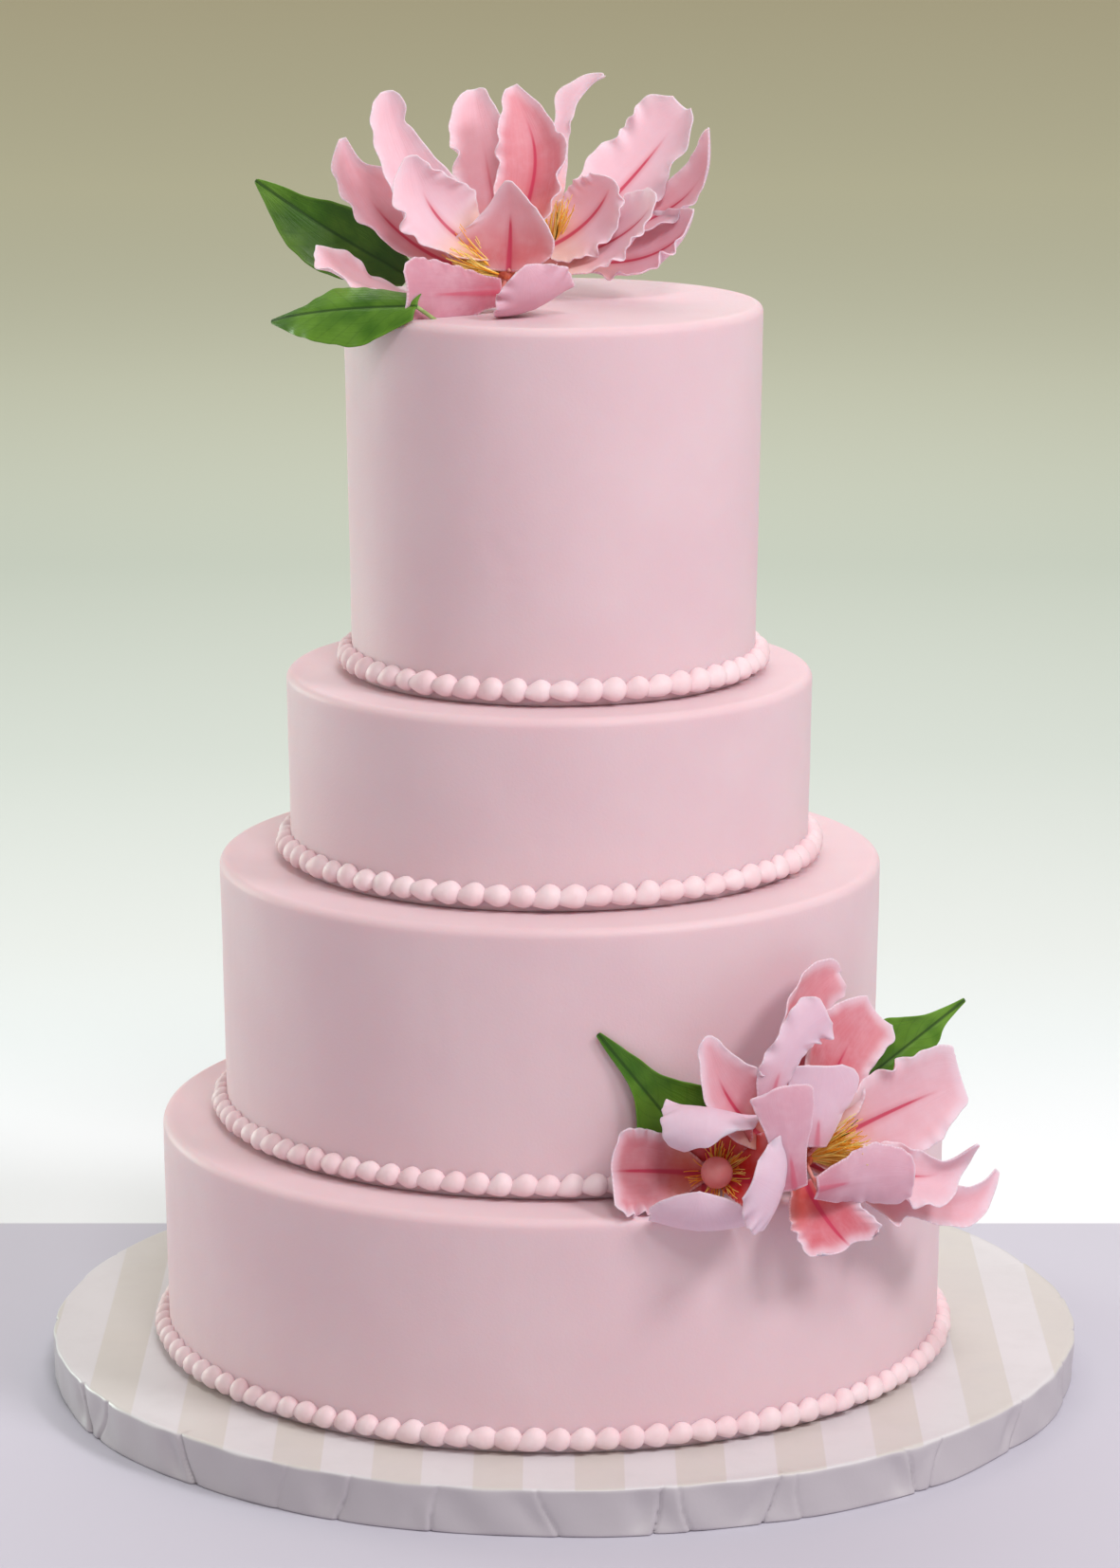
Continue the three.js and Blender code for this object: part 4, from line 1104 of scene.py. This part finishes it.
def petal_finish():
    """Dusted gum paste with painted shade in the throat and on the back face, and a painted highlight along
    the rim: each petal carries its own share of each tone.
    """
    made, tree, shader = finish(
        "petal_paste", 0.5, Specular_IOR_Level=0.3, Subsurface_Weight=0.5, Subsurface_Scale=0.004
    )
    shader.inputs["Subsurface Radius"].default_value = (1.0, 0.5, 0.45)
    across, reach = carried(tree, "across"), carried(tree, "reach")
    paste = node(tree, "ShaderNodeGroup", {"Across": across, "Reach": reach}, node_tree=rolled_gum_paste)
    veined = grading(tree, paste.outputs["Veins"], 0.3, 0.7, 0.92, 1.0)
    dusted = carried(tree, "dusted_face")
    from_rim = carried(tree, "from_rim")

    def shared(key, low, high, low_to, high_to):
        """What the petal carries as key, graded from foot to tip."""
        return sums(tree, "MULTIPLY", carried(tree, key), grading(tree, reach, low, high, low_to, high_to))

    flushed = grading(tree, from_rim, 0.0, 4.5, 0.3, 1.0)
    flushed = sums(tree, "MULTIPLY", flushed, shared("flush_and_leaf_shade", 0.1, 1.0, 1.1, 0.75))
    flushed = sums(tree, "MINIMUM", sums(tree, "MULTIPLY", flushed, veined), 0.95)
    upper = blended(tree, flushed, tint(*PETAL_PINK), tint(*PETAL_SALMON))
    pale_share = grading(tree, from_rim, 0.0, 6.0, 0.35, 0.0)
    upper = blended(tree, pale_share, upper, tint(*PETAL_PALE))
    glowing = sums(tree, "MULTIPLY", shared("glow", 0.08, 0.5, 1.0, 0.0), veined)
    upper = blended(tree, glowing, upper, tint(*PETAL_GLOW))
    # Painted shade: the throat's deep red shadow, at the foot of the upper face.
    upper = blended(tree, shared("deep", 0.12, 0.6, 1.0, 0.0), upper, tint(*PETAL_THROAT_SHADE))
    # Painted shade on the back face: darker towards the foot, and darker again on each petal by its own
    # under share.
    back_shade_share = grading(tree, reach, 0.0, 0.55, 0.35, 0.0)
    back_shade_share = sums(tree, "ADD", back_shade_share, carried(tree, "under"))
    under = blended(tree, back_shade_share, tint(*PETAL_BACK), tint(*PETAL_BACK_SHADE))
    colour = blended(tree, dusted, under, upper)
    # Painted highlight: a pale band along the rim, where the rounded edge catches the light.
    rim_highlight_share = grading(tree, from_rim, 0.1, 1.0, 0.4, 0.0)
    colour = blended(tree, rim_highlight_share, colour, tint(*PETAL_PALE))
    powdered = grading(tree, paste.outputs["Powder"], 0.35, 0.75, 0.0, 0.15)
    colour = blended(tree, powdered, colour, tint(*PETAL_PALE))
    colour = blended(tree, line_share_of(tree, reach, dusted), colour, tint(*PETAL_LINE))
    feed(tree, shader.inputs["Base Color"], colour)
    feed(tree, shader.inputs["Roughness"], grading(tree, paste.outputs["Powder"], 0.3, 0.7, 0.42, 0.58))
    relief(tree, shader, paste.outputs["Height"], 0.11)
    return made


def tape_finish(name, tones):
    """Crinkled florist's tape, wound along a wire."""
    made, tree, shader = finish(name, 0.7, Specular_IOR_Level=0.3)
    wrap = mottle(tree, object_place(tree), 500, 2, 0.5, (0.3, 0.3, 1.0))
    two_toned(tree, shader, grading(tree, wrap, 0.3, 0.7), *tones)
    relief(tree, shader, wrap, 0.2)
    return made


petal_paste = petal_finish()
wire_paper = tape_finish("wire_paper", ROSE_TAPE)
florist_tape = tape_finish("florist_tape", GREEN_TAPE)

for bloom_number, (bloom_name, bloom) in enumerate(BLOOMS.items()):
    for index, petal in enumerate(bloom["petals"]):
        petal_name = f"{bloom_name}_petal_{index + 1}"
        wired_to = None
        if "offset" in petal:
            foot = petal_sheet(bloom, petal, 1, 4, 2)[1][0, 1]
            heart = np.array(bloom["at"], float)
            wired_to = heart + unit(foot - heart) * (PLUG_RADIUS + 1)
        seed = 100 * bloom_number + 10 * index
        pastes = [petal_paste, wire_paper]
        mesh = sheet_mesh(petal_name + "_sugar", bloom, petal, seed, pastes, wired_to)
        piece(petal_name + "_sugar", mesh, "petal", petal_name)


# ==== The leaves ====
# Leaves of green gum paste, pressed in a veiner, dried with curled tips and glazed to a soft
# shine. Each one is held by a taped wire that is pushed into the icing.

LEAVES = {
    "top_leaf_1": {
        "at": (-62, 5, 449), "facing": -15, "tilt": 20, "held": (-56, 4, 439), "shade": 0.8,
        "blade": dict(
            turn=296, start=0, lean=84, sway=6, length=74, width=32, foot=0.3, cup=25,
            left=(
                (0.2, 0.8), (0.4, 1.02), (0.54, 1.02), (0.68, 0.85), (0.82, 0.5), (0.93, 0.22),
                (1.0, 0.05),
            ),
            right=(
                (0.2, 0.65), (0.4, 0.75), (0.56, 0.66), (0.7, 0.4), (0.86, 0.26), (0.95, 0.14),
                (1.0, 0.05),
            ),
        ),
    },
    "top_leaf_2": {
        "at": (-57, -71, 447), "facing": -38, "tilt": 42, "held": (-48, -62, 439), "shade": 0.3,
        "blade": dict(
            turn=259, start=0, lean=85, curl=16, length=68, width=36, foot=0.35, cup=-20,
            left=(
                (0.13, 0.6), (0.3, 0.92), (0.45, 0.85), (0.6, 0.75), (0.74, 0.56), (0.88, 0.3),
                (1.0, 0.05),
            ),
            right=(
                (0.13, 0.4), (0.3, 0.56), (0.45, 0.65), (0.62, 0.68), (0.7, 0.44), (0.76, 0.24),
                (0.88, 0.16), (1.0, 0.05),
            ),
        ),
    },
    "step_leaf_1": {
        "at": (50, -142, 131), "facing": 12, "tilt": 8, "held": (50, -131, 128), "shade": 0.65,
        "blade": dict(
            turn=322, start=0, lean=88, foot=0.9, cup=20,
            left=(
                (0.12, 1.1), (0.25, 0.92), (0.4, 0.56), (0.52, 0.3), (0.66, 0.16), (0.9, 0.09),
                (1.0, 0.05),
            ),
            right=(
                (0.12, 1.15), (0.25, 1.08), (0.4, 0.74), (0.55, 0.44), (0.72, 0.3), (0.88, 0.16),
                (1.0, 0.05),
            ),
        ),
    },
    "step_leaf_2": {
        "at": (117, -98, 147), "facing": 30, "tilt": 8, "held": (101, -86, 142), "shade": 0.1,
        "blade": dict(
            turn=59, start=0, lean=82, length=52, width=30, foot=0.6, cup=15,
            left=(
                (0.12, 0.95), (0.25, 1.1), (0.4, 1.0), (0.55, 0.66), (0.68, 0.38), (0.84, 0.18),
                (1.0, 0.05),
            ),
            right=(
                (0.12, 0.6), (0.3, 0.55), (0.45, 0.55), (0.57, 0.56), (0.65, 0.46), (0.74, 0.24),
                (0.88, 0.13), (1.0, 0.05),
            ),
        ),
    },
}
LEAF_LIGHT = (112, 160, 44)
LEAF_GREEN = (70, 120, 18)
LEAF_DARK = (26, 62, 4)
LEAF_RUFFLE = 12
LEAF_NICKS = 0.02
LEAF_CREASE = 0.9
LEAF_VEINS = 0.1


def leaf_finish():
    """Glazed green gum paste with a dark rib, fainter side veins, and painted shade towards the foot."""
    made, tree, shader = finish("leaf_paste", 0.42, Specular_IOR_Level=0.35)
    across, reach = carried(tree, "across"), carried(tree, "reach")
    paste = node(tree, "ShaderNodeGroup", {"Across": across, "Reach": reach}, node_tree=rolled_gum_paste)
    from_middle = sums(tree, "ABSOLUTE", across)
    cloud = mottle(tree, object_place(tree), 45, 3)
    cloud = grading(tree, cloud, 0.35, 0.65)
    colour = blended(tree, cloud, tint(*LEAF_GREEN), tint(*LEAF_LIGHT))
    # Painted shade: darker towards the foot, by the leaf's own shade value, which the blade carries in the
    # attribute that the petals use for their dusting.
    shade = grading(tree, reach, 0.0, 0.9, 1.0, 0.35)
    shade = sums(tree, "MULTIPLY", carried(tree, "flush_and_leaf_shade"), shade)
    rib = grading(tree, sums(tree, "ABSOLUTE", carried(tree, "from_midrib")), 0.25, 1.1, 0.75, 0.0)
    slanted = sums(tree, "MULTIPLY", reach, 9.0)
    slanted = sums(tree, "SUBTRACT", slanted, sums(tree, "MULTIPLY", from_middle, 2.2))
    side_vein = sums(tree, "SUBTRACT", sums(tree, "FRACT", slanted), 0.5)
    side_vein = grading(tree, sums(tree, "ABSOLUTE", side_vein), 0.0, 0.12, 0.16, 0.0)
    for share in (shade, rib, side_vein):
        colour = blended(tree, share, colour, tint(*LEAF_DARK))
    edge = grading(tree, from_middle, 0.9, 1.0, 0.0, 0.35)
    colour = blended(tree, edge, colour, tint(*LEAF_LIGHT))
    feed(tree, shader.inputs["Base Color"], colour)
    feed(tree, shader.inputs["Roughness"], grading(tree, paste.outputs["Powder"], 0.3, 0.7, 0.32, 0.48))
    relief(tree, shader, paste.outputs["Height"], 0.3)
    return made


leaf_paste = leaf_finish()
for number, (leaf_name, leaf) in enumerate(LEAVES.items()):
    # The leaf's painted shade rides in the petals' dusting attribute.
    blade = {**leaf["blade"], "ruffle": LEAF_RUFFLE, "nicks": LEAF_NICKS, "flush_and_leaf_shade": leaf["shade"]}
    name = leaf_name + "_blade"
    pastes = [leaf_paste, florist_tape]
    seed = 900 + 10 * number
    mesh = sheet_mesh(name, leaf, blade, seed, pastes, leaf["held"], LEAF_CREASE, LEAF_VEINS)
    piece(name, mesh, "leaf", leaf_name)


# ==== The hearts of the blooms ====
# A taped plug on a stem that is pushed into the cake, and the stamens: fine dyed threads that
# are set round the plug and fan out of the throat.

STEM_RADIUS = 2.4
CROWN_HEIGHT = 1  # above it the plug is dusted, below it is taped
HEARTS = {
    "top_left": {"reach": 16, "threads": 80, "turns": (236, 305), "leans": (50, 78), "length": 27},
    "top_right": {"reach": 21, "threads": 45, "turns": (-50, 80), "leans": (6, 38), "length": 24},
    "step_left": {"reach": 19, "threads": 75, "turns": (0, 360), "leans": (48, 72), "length": 16},
    "step_right": {"reach": 26, "threads": 150, "turns": (40, 140), "leans": (10, 48), "length": 27},
}
THREAD_RADIUS = 0.24
PLUG_SIDES = 20
STAMEN_ORANGE = (255, 182, 56)
STAMEN_YELLOW = (255, 238, 136)
STAMEN_DARK = (66, 74, 18)
STAMEN_FOOT = (220, 96, 24)
THROAT_ROSE = (176, 66, 50)
THROAT_AMBER = (214, 112, 74)


def stamen_tree(material):
    """Threads of uneven length that fan out of one point, each with its own dye."""
    inputs = {
        "Threads": "Int",
        "Length": "Float",
        "Thickness": "Float",
        "First Turn": "Float",
        "Last Turn": "Float",
        "Least Lean": "Float",
        "Most Lean": "Float",
        "Place": "Vector",
        "Turned": "Vector",
        "Seed": "Int",
    }
    tree, entry, leave = socketed_tree(
        "fanned_stamens", "GeometryNodeTree", inputs, {"Stamens": "Geometry"}
    )

    def any_between(low, high, seed_shift):
        made = node(tree, "FunctionNodeRandomValue", data_type="FLOAT")
        ends = [s for s in made.inputs if s.identifier in ("Min_001", "Max_001")]
        for socket, value in zip(ends, (low, high)):
            feed(tree, socket, value)
        feed(tree, made.inputs["Seed"], sums(tree, "ADD", entry["Seed"], seed_shift))
        return made.outputs[1]

    def storing(geometry, name, value, domain):
        """The geometry with a number stored on it."""
        inputs = {"Geometry": geometry, "Name": name}
        kind = "GeometryNodeStoreNamedAttribute"
        made = node(tree, kind, inputs, data_type="FLOAT", domain=domain)
        feed(tree, [s for s in made.inputs if s.name == "Value"][0], value)
        return made.outputs[0]

    bend = node(
        tree,
        "GeometryNodeCurveQuadraticBezier",
        {"Resolution": 6, "Start": (0, 0, 0), "Middle": (0, 0.02, 0.55), "End": (0, -0.16, 1.0)},
    )
    how_far = node(tree, "GeometryNodeSplineParameter").outputs["Factor"]
    marked = storing(bend.outputs[0], "reach", how_far, "POINT")
    section = node(tree, "GeometryNodeCurvePrimitiveCircle", {"Resolution": 5})
    section.inputs["Radius"].default_value = 1.0
    thickness = sums(tree, "DIVIDE", entry["Thickness"], entry["Length"])
    thinning = sums(tree, "SUBTRACT", 1.15, sums(tree, "MULTIPLY", how_far, 0.5))
    thread = node(
        tree,
        "GeometryNodeCurveToMesh",
        {
            "Curve": marked,
            "Profile Curve": section.outputs[0],
            "Scale": sums(tree, "MULTIPLY", thickness, thinning),
            "Fill Caps": True,
        },
    )
    smooth = node(tree, "GeometryNodeSetShadeSmooth", {"Geometry": thread.outputs[0]})

    points = node(tree, "GeometryNodePoints", {"Count": entry["Threads"]})
    lean = any_between(entry["Least Lean"], entry["Most Lean"], 1)
    turn = any_between(entry["First Turn"], entry["Last Turn"], 2)
    fan = node(
        tree,
        "ShaderNodeCombineXYZ",
        {"X": sums(tree, "MULTIPLY", lean, -1.0), "Z": sums(tree, "MULTIPLY", turn, -1.0)},
    )
    fanned = node(tree, "FunctionNodeEulerToRotation", {"Euler": fan.outputs[0]})
    spin = node(tree, "ShaderNodeCombineXYZ", {"Z": any_between(-1.2, 1.2, 3)})
    spun = node(tree, "FunctionNodeEulerToRotation", {"Euler": spin.outputs[0]})
    stance = node(
        tree,
        "FunctionNodeRotateRotation",
        {"Rotation": fanned.outputs[0], "Rotate By": spun.outputs[0]},
        rotation_space="LOCAL",
    )
    long = sums(tree, "MULTIPLY", any_between(0.6, 1.0, 4), entry["Length"])
    wide = node(tree, "ShaderNodeCombineXYZ", {"X": entry["Length"], "Y": entry["Length"], "Z": long})
    threads = node(
        tree,
        "GeometryNodeInstanceOnPoints",
        {
            "Points": points.outputs[0],
            "Instance": smooth.outputs[0],
            "Rotation": stance.outputs[0],
            "Scale": wide.outputs[0],
        },
    )
    dyed = storing(threads.outputs[0], "dye", any_between(0.0, 1.0, 5), "INSTANCE")
    aim = node(tree, "FunctionNodeEulerToRotation", {"Euler": entry["Turned"]})
    set_in = node(
        tree,
        "GeometryNodeTransform",
        {"Geometry": dyed, "Translation": entry["Place"], "Rotation": aim.outputs[0]},
    )
    whole = node(tree, "GeometryNodeRealizeInstances", {"Geometry": set_in.outputs[0]})
    coloured = node(tree, "GeometryNodeSetMaterial", {"Geometry": whole.outputs[0], "Material": material})
    feed(tree, leave[0], coloured.outputs[0])
    return tree


def thread_finish():
    """Dyed cotton, from orange to yellow, with a redder foot and a few dark threads."""
    made, tree, shader = finish("stamen_thread", 0.55, Specular_IOR_Level=0.3)
    dye = carried(tree, "dye")
    tone = grading(tree, dye, 0.2, 0.8)
    colour = blended(tree, tone, tint(*STAMEN_ORANGE), tint(*STAMEN_YELLOW))
    foot = grading(tree, carried(tree, "reach"), 0.0, 0.3, 0.35, 0.0)
    colour = blended(tree, foot, colour, tint(*STAMEN_FOOT))
    colour = blended(tree, grading(tree, dye, 0.95, 0.97), colour, tint(*STAMEN_DARK))
    feed(tree, shader.inputs["Base Color"], colour)
    return made


def throat_finish():
    """The plug's crown, dusted rose and amber."""
    made, tree, shader = finish("throat_paste", 0.6)
    cloud = mottle(tree, object_place(tree), 400, 3, 0.6)
    two_toned(tree, shader, grading(tree, cloud, 0.35, 0.65), THROAT_ROSE, THROAT_AMBER)
    relief(tree, shader, cloud, 0.4)
    return made


throat_paste = throat_finish()
fanned_stamens = stamen_tree(thread_finish())


def heart_mesh(name, bloom, heart):
    """The plug and its stem, turned about the bloom's axis, with a knobbly crown."""
    axis, upper, side = bloom_axes(bloom["facing"], bloom["tilt"])
    reach = heart["reach"]
    profile = [(STEM_RADIUS, -reach + 0.4)]
    for f in (0.3, 0.5, 0.7, 0.85, 1):
        profile.append((STEM_RADIUS + (PLUG_RADIUS - STEM_RADIUS) * f**2, -reach * (1 - f)))
    for bend in np.radians([20, 40, 60, 78]):
        profile.append((PLUG_RADIUS * np.cos(bend), PLUG_RADIUS * np.sin(bend)))
    turn = full_turn(PLUG_SIDES)
    middle = np.array(bloom["at"], float)
    rings = []
    for k, (radius, z) in enumerate(profile):
        knob = 0.08 * np.sin(5 * turn + k) if z > 0 else 0.03 * np.sin(3 * turn + 2 * k)
        knobs = (radius * (1 + knob))[:, None]
        round_axis = np.cos(turn)[:, None] * side * knobs + np.sin(turn)[:, None] * upper * knobs
        rings.append(middle + round_axis + axis * z)
    points, faces = closed_rings(rings, middle - axis * reach, middle + axis * PLUG_RADIUS)
    return mesh_of(name, points, outward(points, faces), [wire_paper, throat_paste])


for number, (heart_name, heart) in enumerate(HEARTS.items()):
    bloom = BLOOMS[heart_name]
    axis, upper, side = bloom_axes(bloom["facing"], bloom["tilt"])
    turned = Matrix(np.stack([side, upper, axis], 1).tolist()).to_euler()
    threads = grown(
        heart_name + "_stamen_threads",
        fanned_stamens,
        {
            "Threads": heart["threads"],
            "Length": heart["length"] * MM,
            "Thickness": THREAD_RADIUS * MM,
            "First Turn": float(np.radians(heart["turns"][0])),
            "Last Turn": float(np.radians(heart["turns"][1])),
            "Least Lean": float(np.radians(heart["leans"][0])),
            "Most Lean": float(np.radians(heart["leans"][1])),
            "Place": tuple(v * MM for v in bloom["at"]),
            "Turned": tuple(turned),
            "Seed": 40 + 10 * number,
        },
    )
    piece(heart_name + "_stamen_threads", threads, "stamen", heart_name + "_stamens")
    plug = heart_mesh(heart_name + "_plug", bloom, heart)
    centres = np.array([f.center for f in plug.polygons]) / MM - np.array(bloom["at"])
    crown = (centres @ axis >= CROWN_HEIGHT).astype(int).tolist()
    plug.polygons.foreach_set("material_index", crown)
    piece(heart_name + "_plug", plug, "stamen", heart_name + "_stamens")


# ==== The ball in the open bloom ====
# A small round ball of rose gum paste on the plug of the lower left bloom, rolled by hand,
# dusted and glazed.

PISTIL_RADIUS = 6.2
PISTIL_RISE = 8
PISTIL_SIDES = 40
PISTIL_ROWS = 24
PISTIL_FLAT = 0.985  # how far its two poles reach, in radii
PISTIL_ROSE = (244, 160, 160)
PISTIL_DEEP = (236, 146, 148)


def pistil_finish():
    """Rose gum paste with a low gloss."""
    made, tree, shader = finish(
        "pistil_paste", 0.34, Specular_IOR_Level=0.5, Subsurface_Weight=0.5, Subsurface_Scale=0.006
    )
    place = object_place(tree)
    cloud = grading(tree, mottle(tree, place, 160, 3), 0.3, 0.7)
    two_toned(tree, shader, cloud, PISTIL_ROSE, PISTIL_DEEP)
    relief(tree, shader, mottle(tree, place, 700, 2), 0.05)
    return made


def pistil_mesh(material):
    """The ball in rings about the bloom's axis, a little uneven."""
    bloom = BLOOMS["step_left"]
    axis, upper, side = bloom_axes(bloom["facing"], bloom["tilt"])
    middle = np.array(bloom["at"], float) + axis * PISTIL_RISE
    turn = full_turn(PISTIL_SIDES)
    ring = side * np.cos(turn)[:, None] + upper * np.sin(turn)[:, None]
    rings = []
    for polar in np.linspace(0, np.pi, PISTIL_ROWS + 1)[1:-1]:
        uneven = 1 - 0.012 * (1 + wander(turn / (2 * np.pi) + 0.1 * polar, 77, [2, 3]))
        out = ring * np.sin(polar) + axis * np.cos(polar)
        rings.append(middle + out * PISTIL_RADIUS * uneven[:, None])
    pole = axis * PISTIL_RADIUS * PISTIL_FLAT
    points, faces = closed_rings(rings, middle + pole, middle - pole)
    return mesh_of("step_left_pistil_ball", points, outward(points, faces), [material])


piece("step_left_pistil_ball", pistil_mesh(pistil_finish()), "pistil", "step_left_pistil")


# ==== The studio ====
# One wide pale floor whose tone changes with the distance behind the cake, two soft lamps from
# the front and right, a weak one from behind on the left, one over the floor behind the cake,
# and a camera on a long lens a little above it.

# The floor's colours: metres behind the cake's middle, and the colour there.
FLOOR_REACH = 10.0
TABLE_TONE = (206, 202, 214)
TABLE_END = 0.19
TABLE_EDGE = 0.002  # over which the table's tone ends
FLOOR_HALF = 15000.0
FLOOR_DROP = 0.3  # below the board
FLOOR_TONES = [
    (0.19, (246, 247, 250)),
    (0.33, (243, 244, 248)),
    (0.5, (234, 238, 240)),
    (0.7, (228, 231, 230)),
    (1.2, (212, 218, 212)),
    (1.9, (202, 209, 197)),
    (2.9, (222, 224, 203)),
    (4.7, (242, 237, 205)),
    (8.2, (235, 224, 189)),
]


def floor_finish():
    """Flat paint in the table's tone, then a ramp of tones."""
    made, tree, shader = finish("floor_paint", 0.8, Specular_IOR_Level=0.1)
    behind = node(tree, "ShaderNodeSeparateXYZ", {"Vector": object_place(tree)}).outputs["Y"]
    ramp = node(tree, "ShaderNodeValToRGB", {"Fac": sums(tree, "DIVIDE", behind, FLOOR_REACH)})
    stops = ramp.color_ramp.elements
    for number, (metres, tone) in enumerate(FLOOR_TONES):
        stop = stops[0] if number == 0 else stops.new(metres / FLOOR_REACH)
        stop.position = metres / FLOOR_REACH
        stop.color = tint(*tone)
    stops.remove(stops[-1])
    past_table = grading(tree, behind, TABLE_END - TABLE_EDGE, TABLE_END + TABLE_EDGE)
    colour = blended(tree, past_table, tint(*TABLE_TONE), ramp.outputs["Color"])
    feed(tree, shader.inputs["Base Color"], colour)
    return made


corners = [(x * FLOOR_HALF, y * FLOOR_HALF, -FLOOR_DROP) for x, y in ((-1, -1), (1, -1), (1, 1), (-1, 1))]
floor_mesh = mesh_of("studio_floor", corners, [[0, 1, 2, 3]], [floor_finish()])
floor = bpy.data.objects.new("studio_floor", floor_mesh)
bpy.context.scene.collection.objects.link(floor)

LAMPS = [
    {"name": "key_right", "at": (1.7, -1.19, 2.09), "size": 0.6, "power": 30.0,
     "colour": (1.0, 0.98, 1.0)},
    {"name": "key_front", "at": (0.37, -1.76, 2.36), "size": 0.6, "power": 21.0,
     "colour": (1.0, 0.97, 1.0)},
    {"name": "rim_left", "at": (-2.05, 1.43, 0.5), "size": 1.2, "power": 5.4,
     "colour": (0.86, 1.0, 0.9), "spread": 70.0},
    {"name": "sweep", "at": (0.0, 1.7, 1.7), "size": 1.6, "power": 16.0,
     "colour": (1.0, 1.0, 0.98), "aim": (0.0, 1.4, 0.0)},
]
ROOM_TONE = (1.0, 1.0, 0.92, 1.0)
ROOM_LIGHT = 0.44
LAMP_AIM = (0.0, 0.0, 0.22)
for lamp in LAMPS:
    light = bpy.data.lights.new(lamp["name"], "AREA")
    light.shape = "SQUARE"
    light.size = lamp["size"]
    light.energy = lamp["power"]
    light.color = lamp["colour"]
    light.spread = float(np.radians(lamp.get("spread", 180.0)))
    holder = bpy.data.objects.new(lamp["name"], light)
    bpy.context.scene.collection.objects.link(holder)
    holder.location = lamp["at"]
    aim = (np.array(lamp.get("aim", LAMP_AIM)) - np.array(lamp["at"])).tolist()
    holder.rotation_euler = Vector(aim).to_track_quat("-Z", "Y").to_euler()

room = bpy.data.worlds.new("studio_room")
room.use_nodes = True
room.node_tree.nodes["Background"].inputs["Color"].default_value = ROOM_TONE
room.node_tree.nodes["Background"].inputs["Strength"].default_value = ROOM_LIGHT
bpy.context.scene.world = room

CAMERA_LENS = 120.42
CAMERA_AT = (-0.00169, -2.0722, 0.69855)
CAMERA_PITCH = 77.62  # degrees up from straight down
camera_lens = bpy.data.cameras.new("studio_camera")
camera_lens.lens = CAMERA_LENS
camera_lens.sensor_width = 36.0
camera_lens.clip_end = 60.0
camera = bpy.data.objects.new("studio_camera", camera_lens)
bpy.context.scene.collection.objects.link(camera)
camera.location = CAMERA_AT
camera.rotation_euler = (np.radians(CAMERA_PITCH), 0.0, 0.0)
bpy.context.scene.camera = camera
bpy.context.scene.view_settings.view_transform = "Standard"
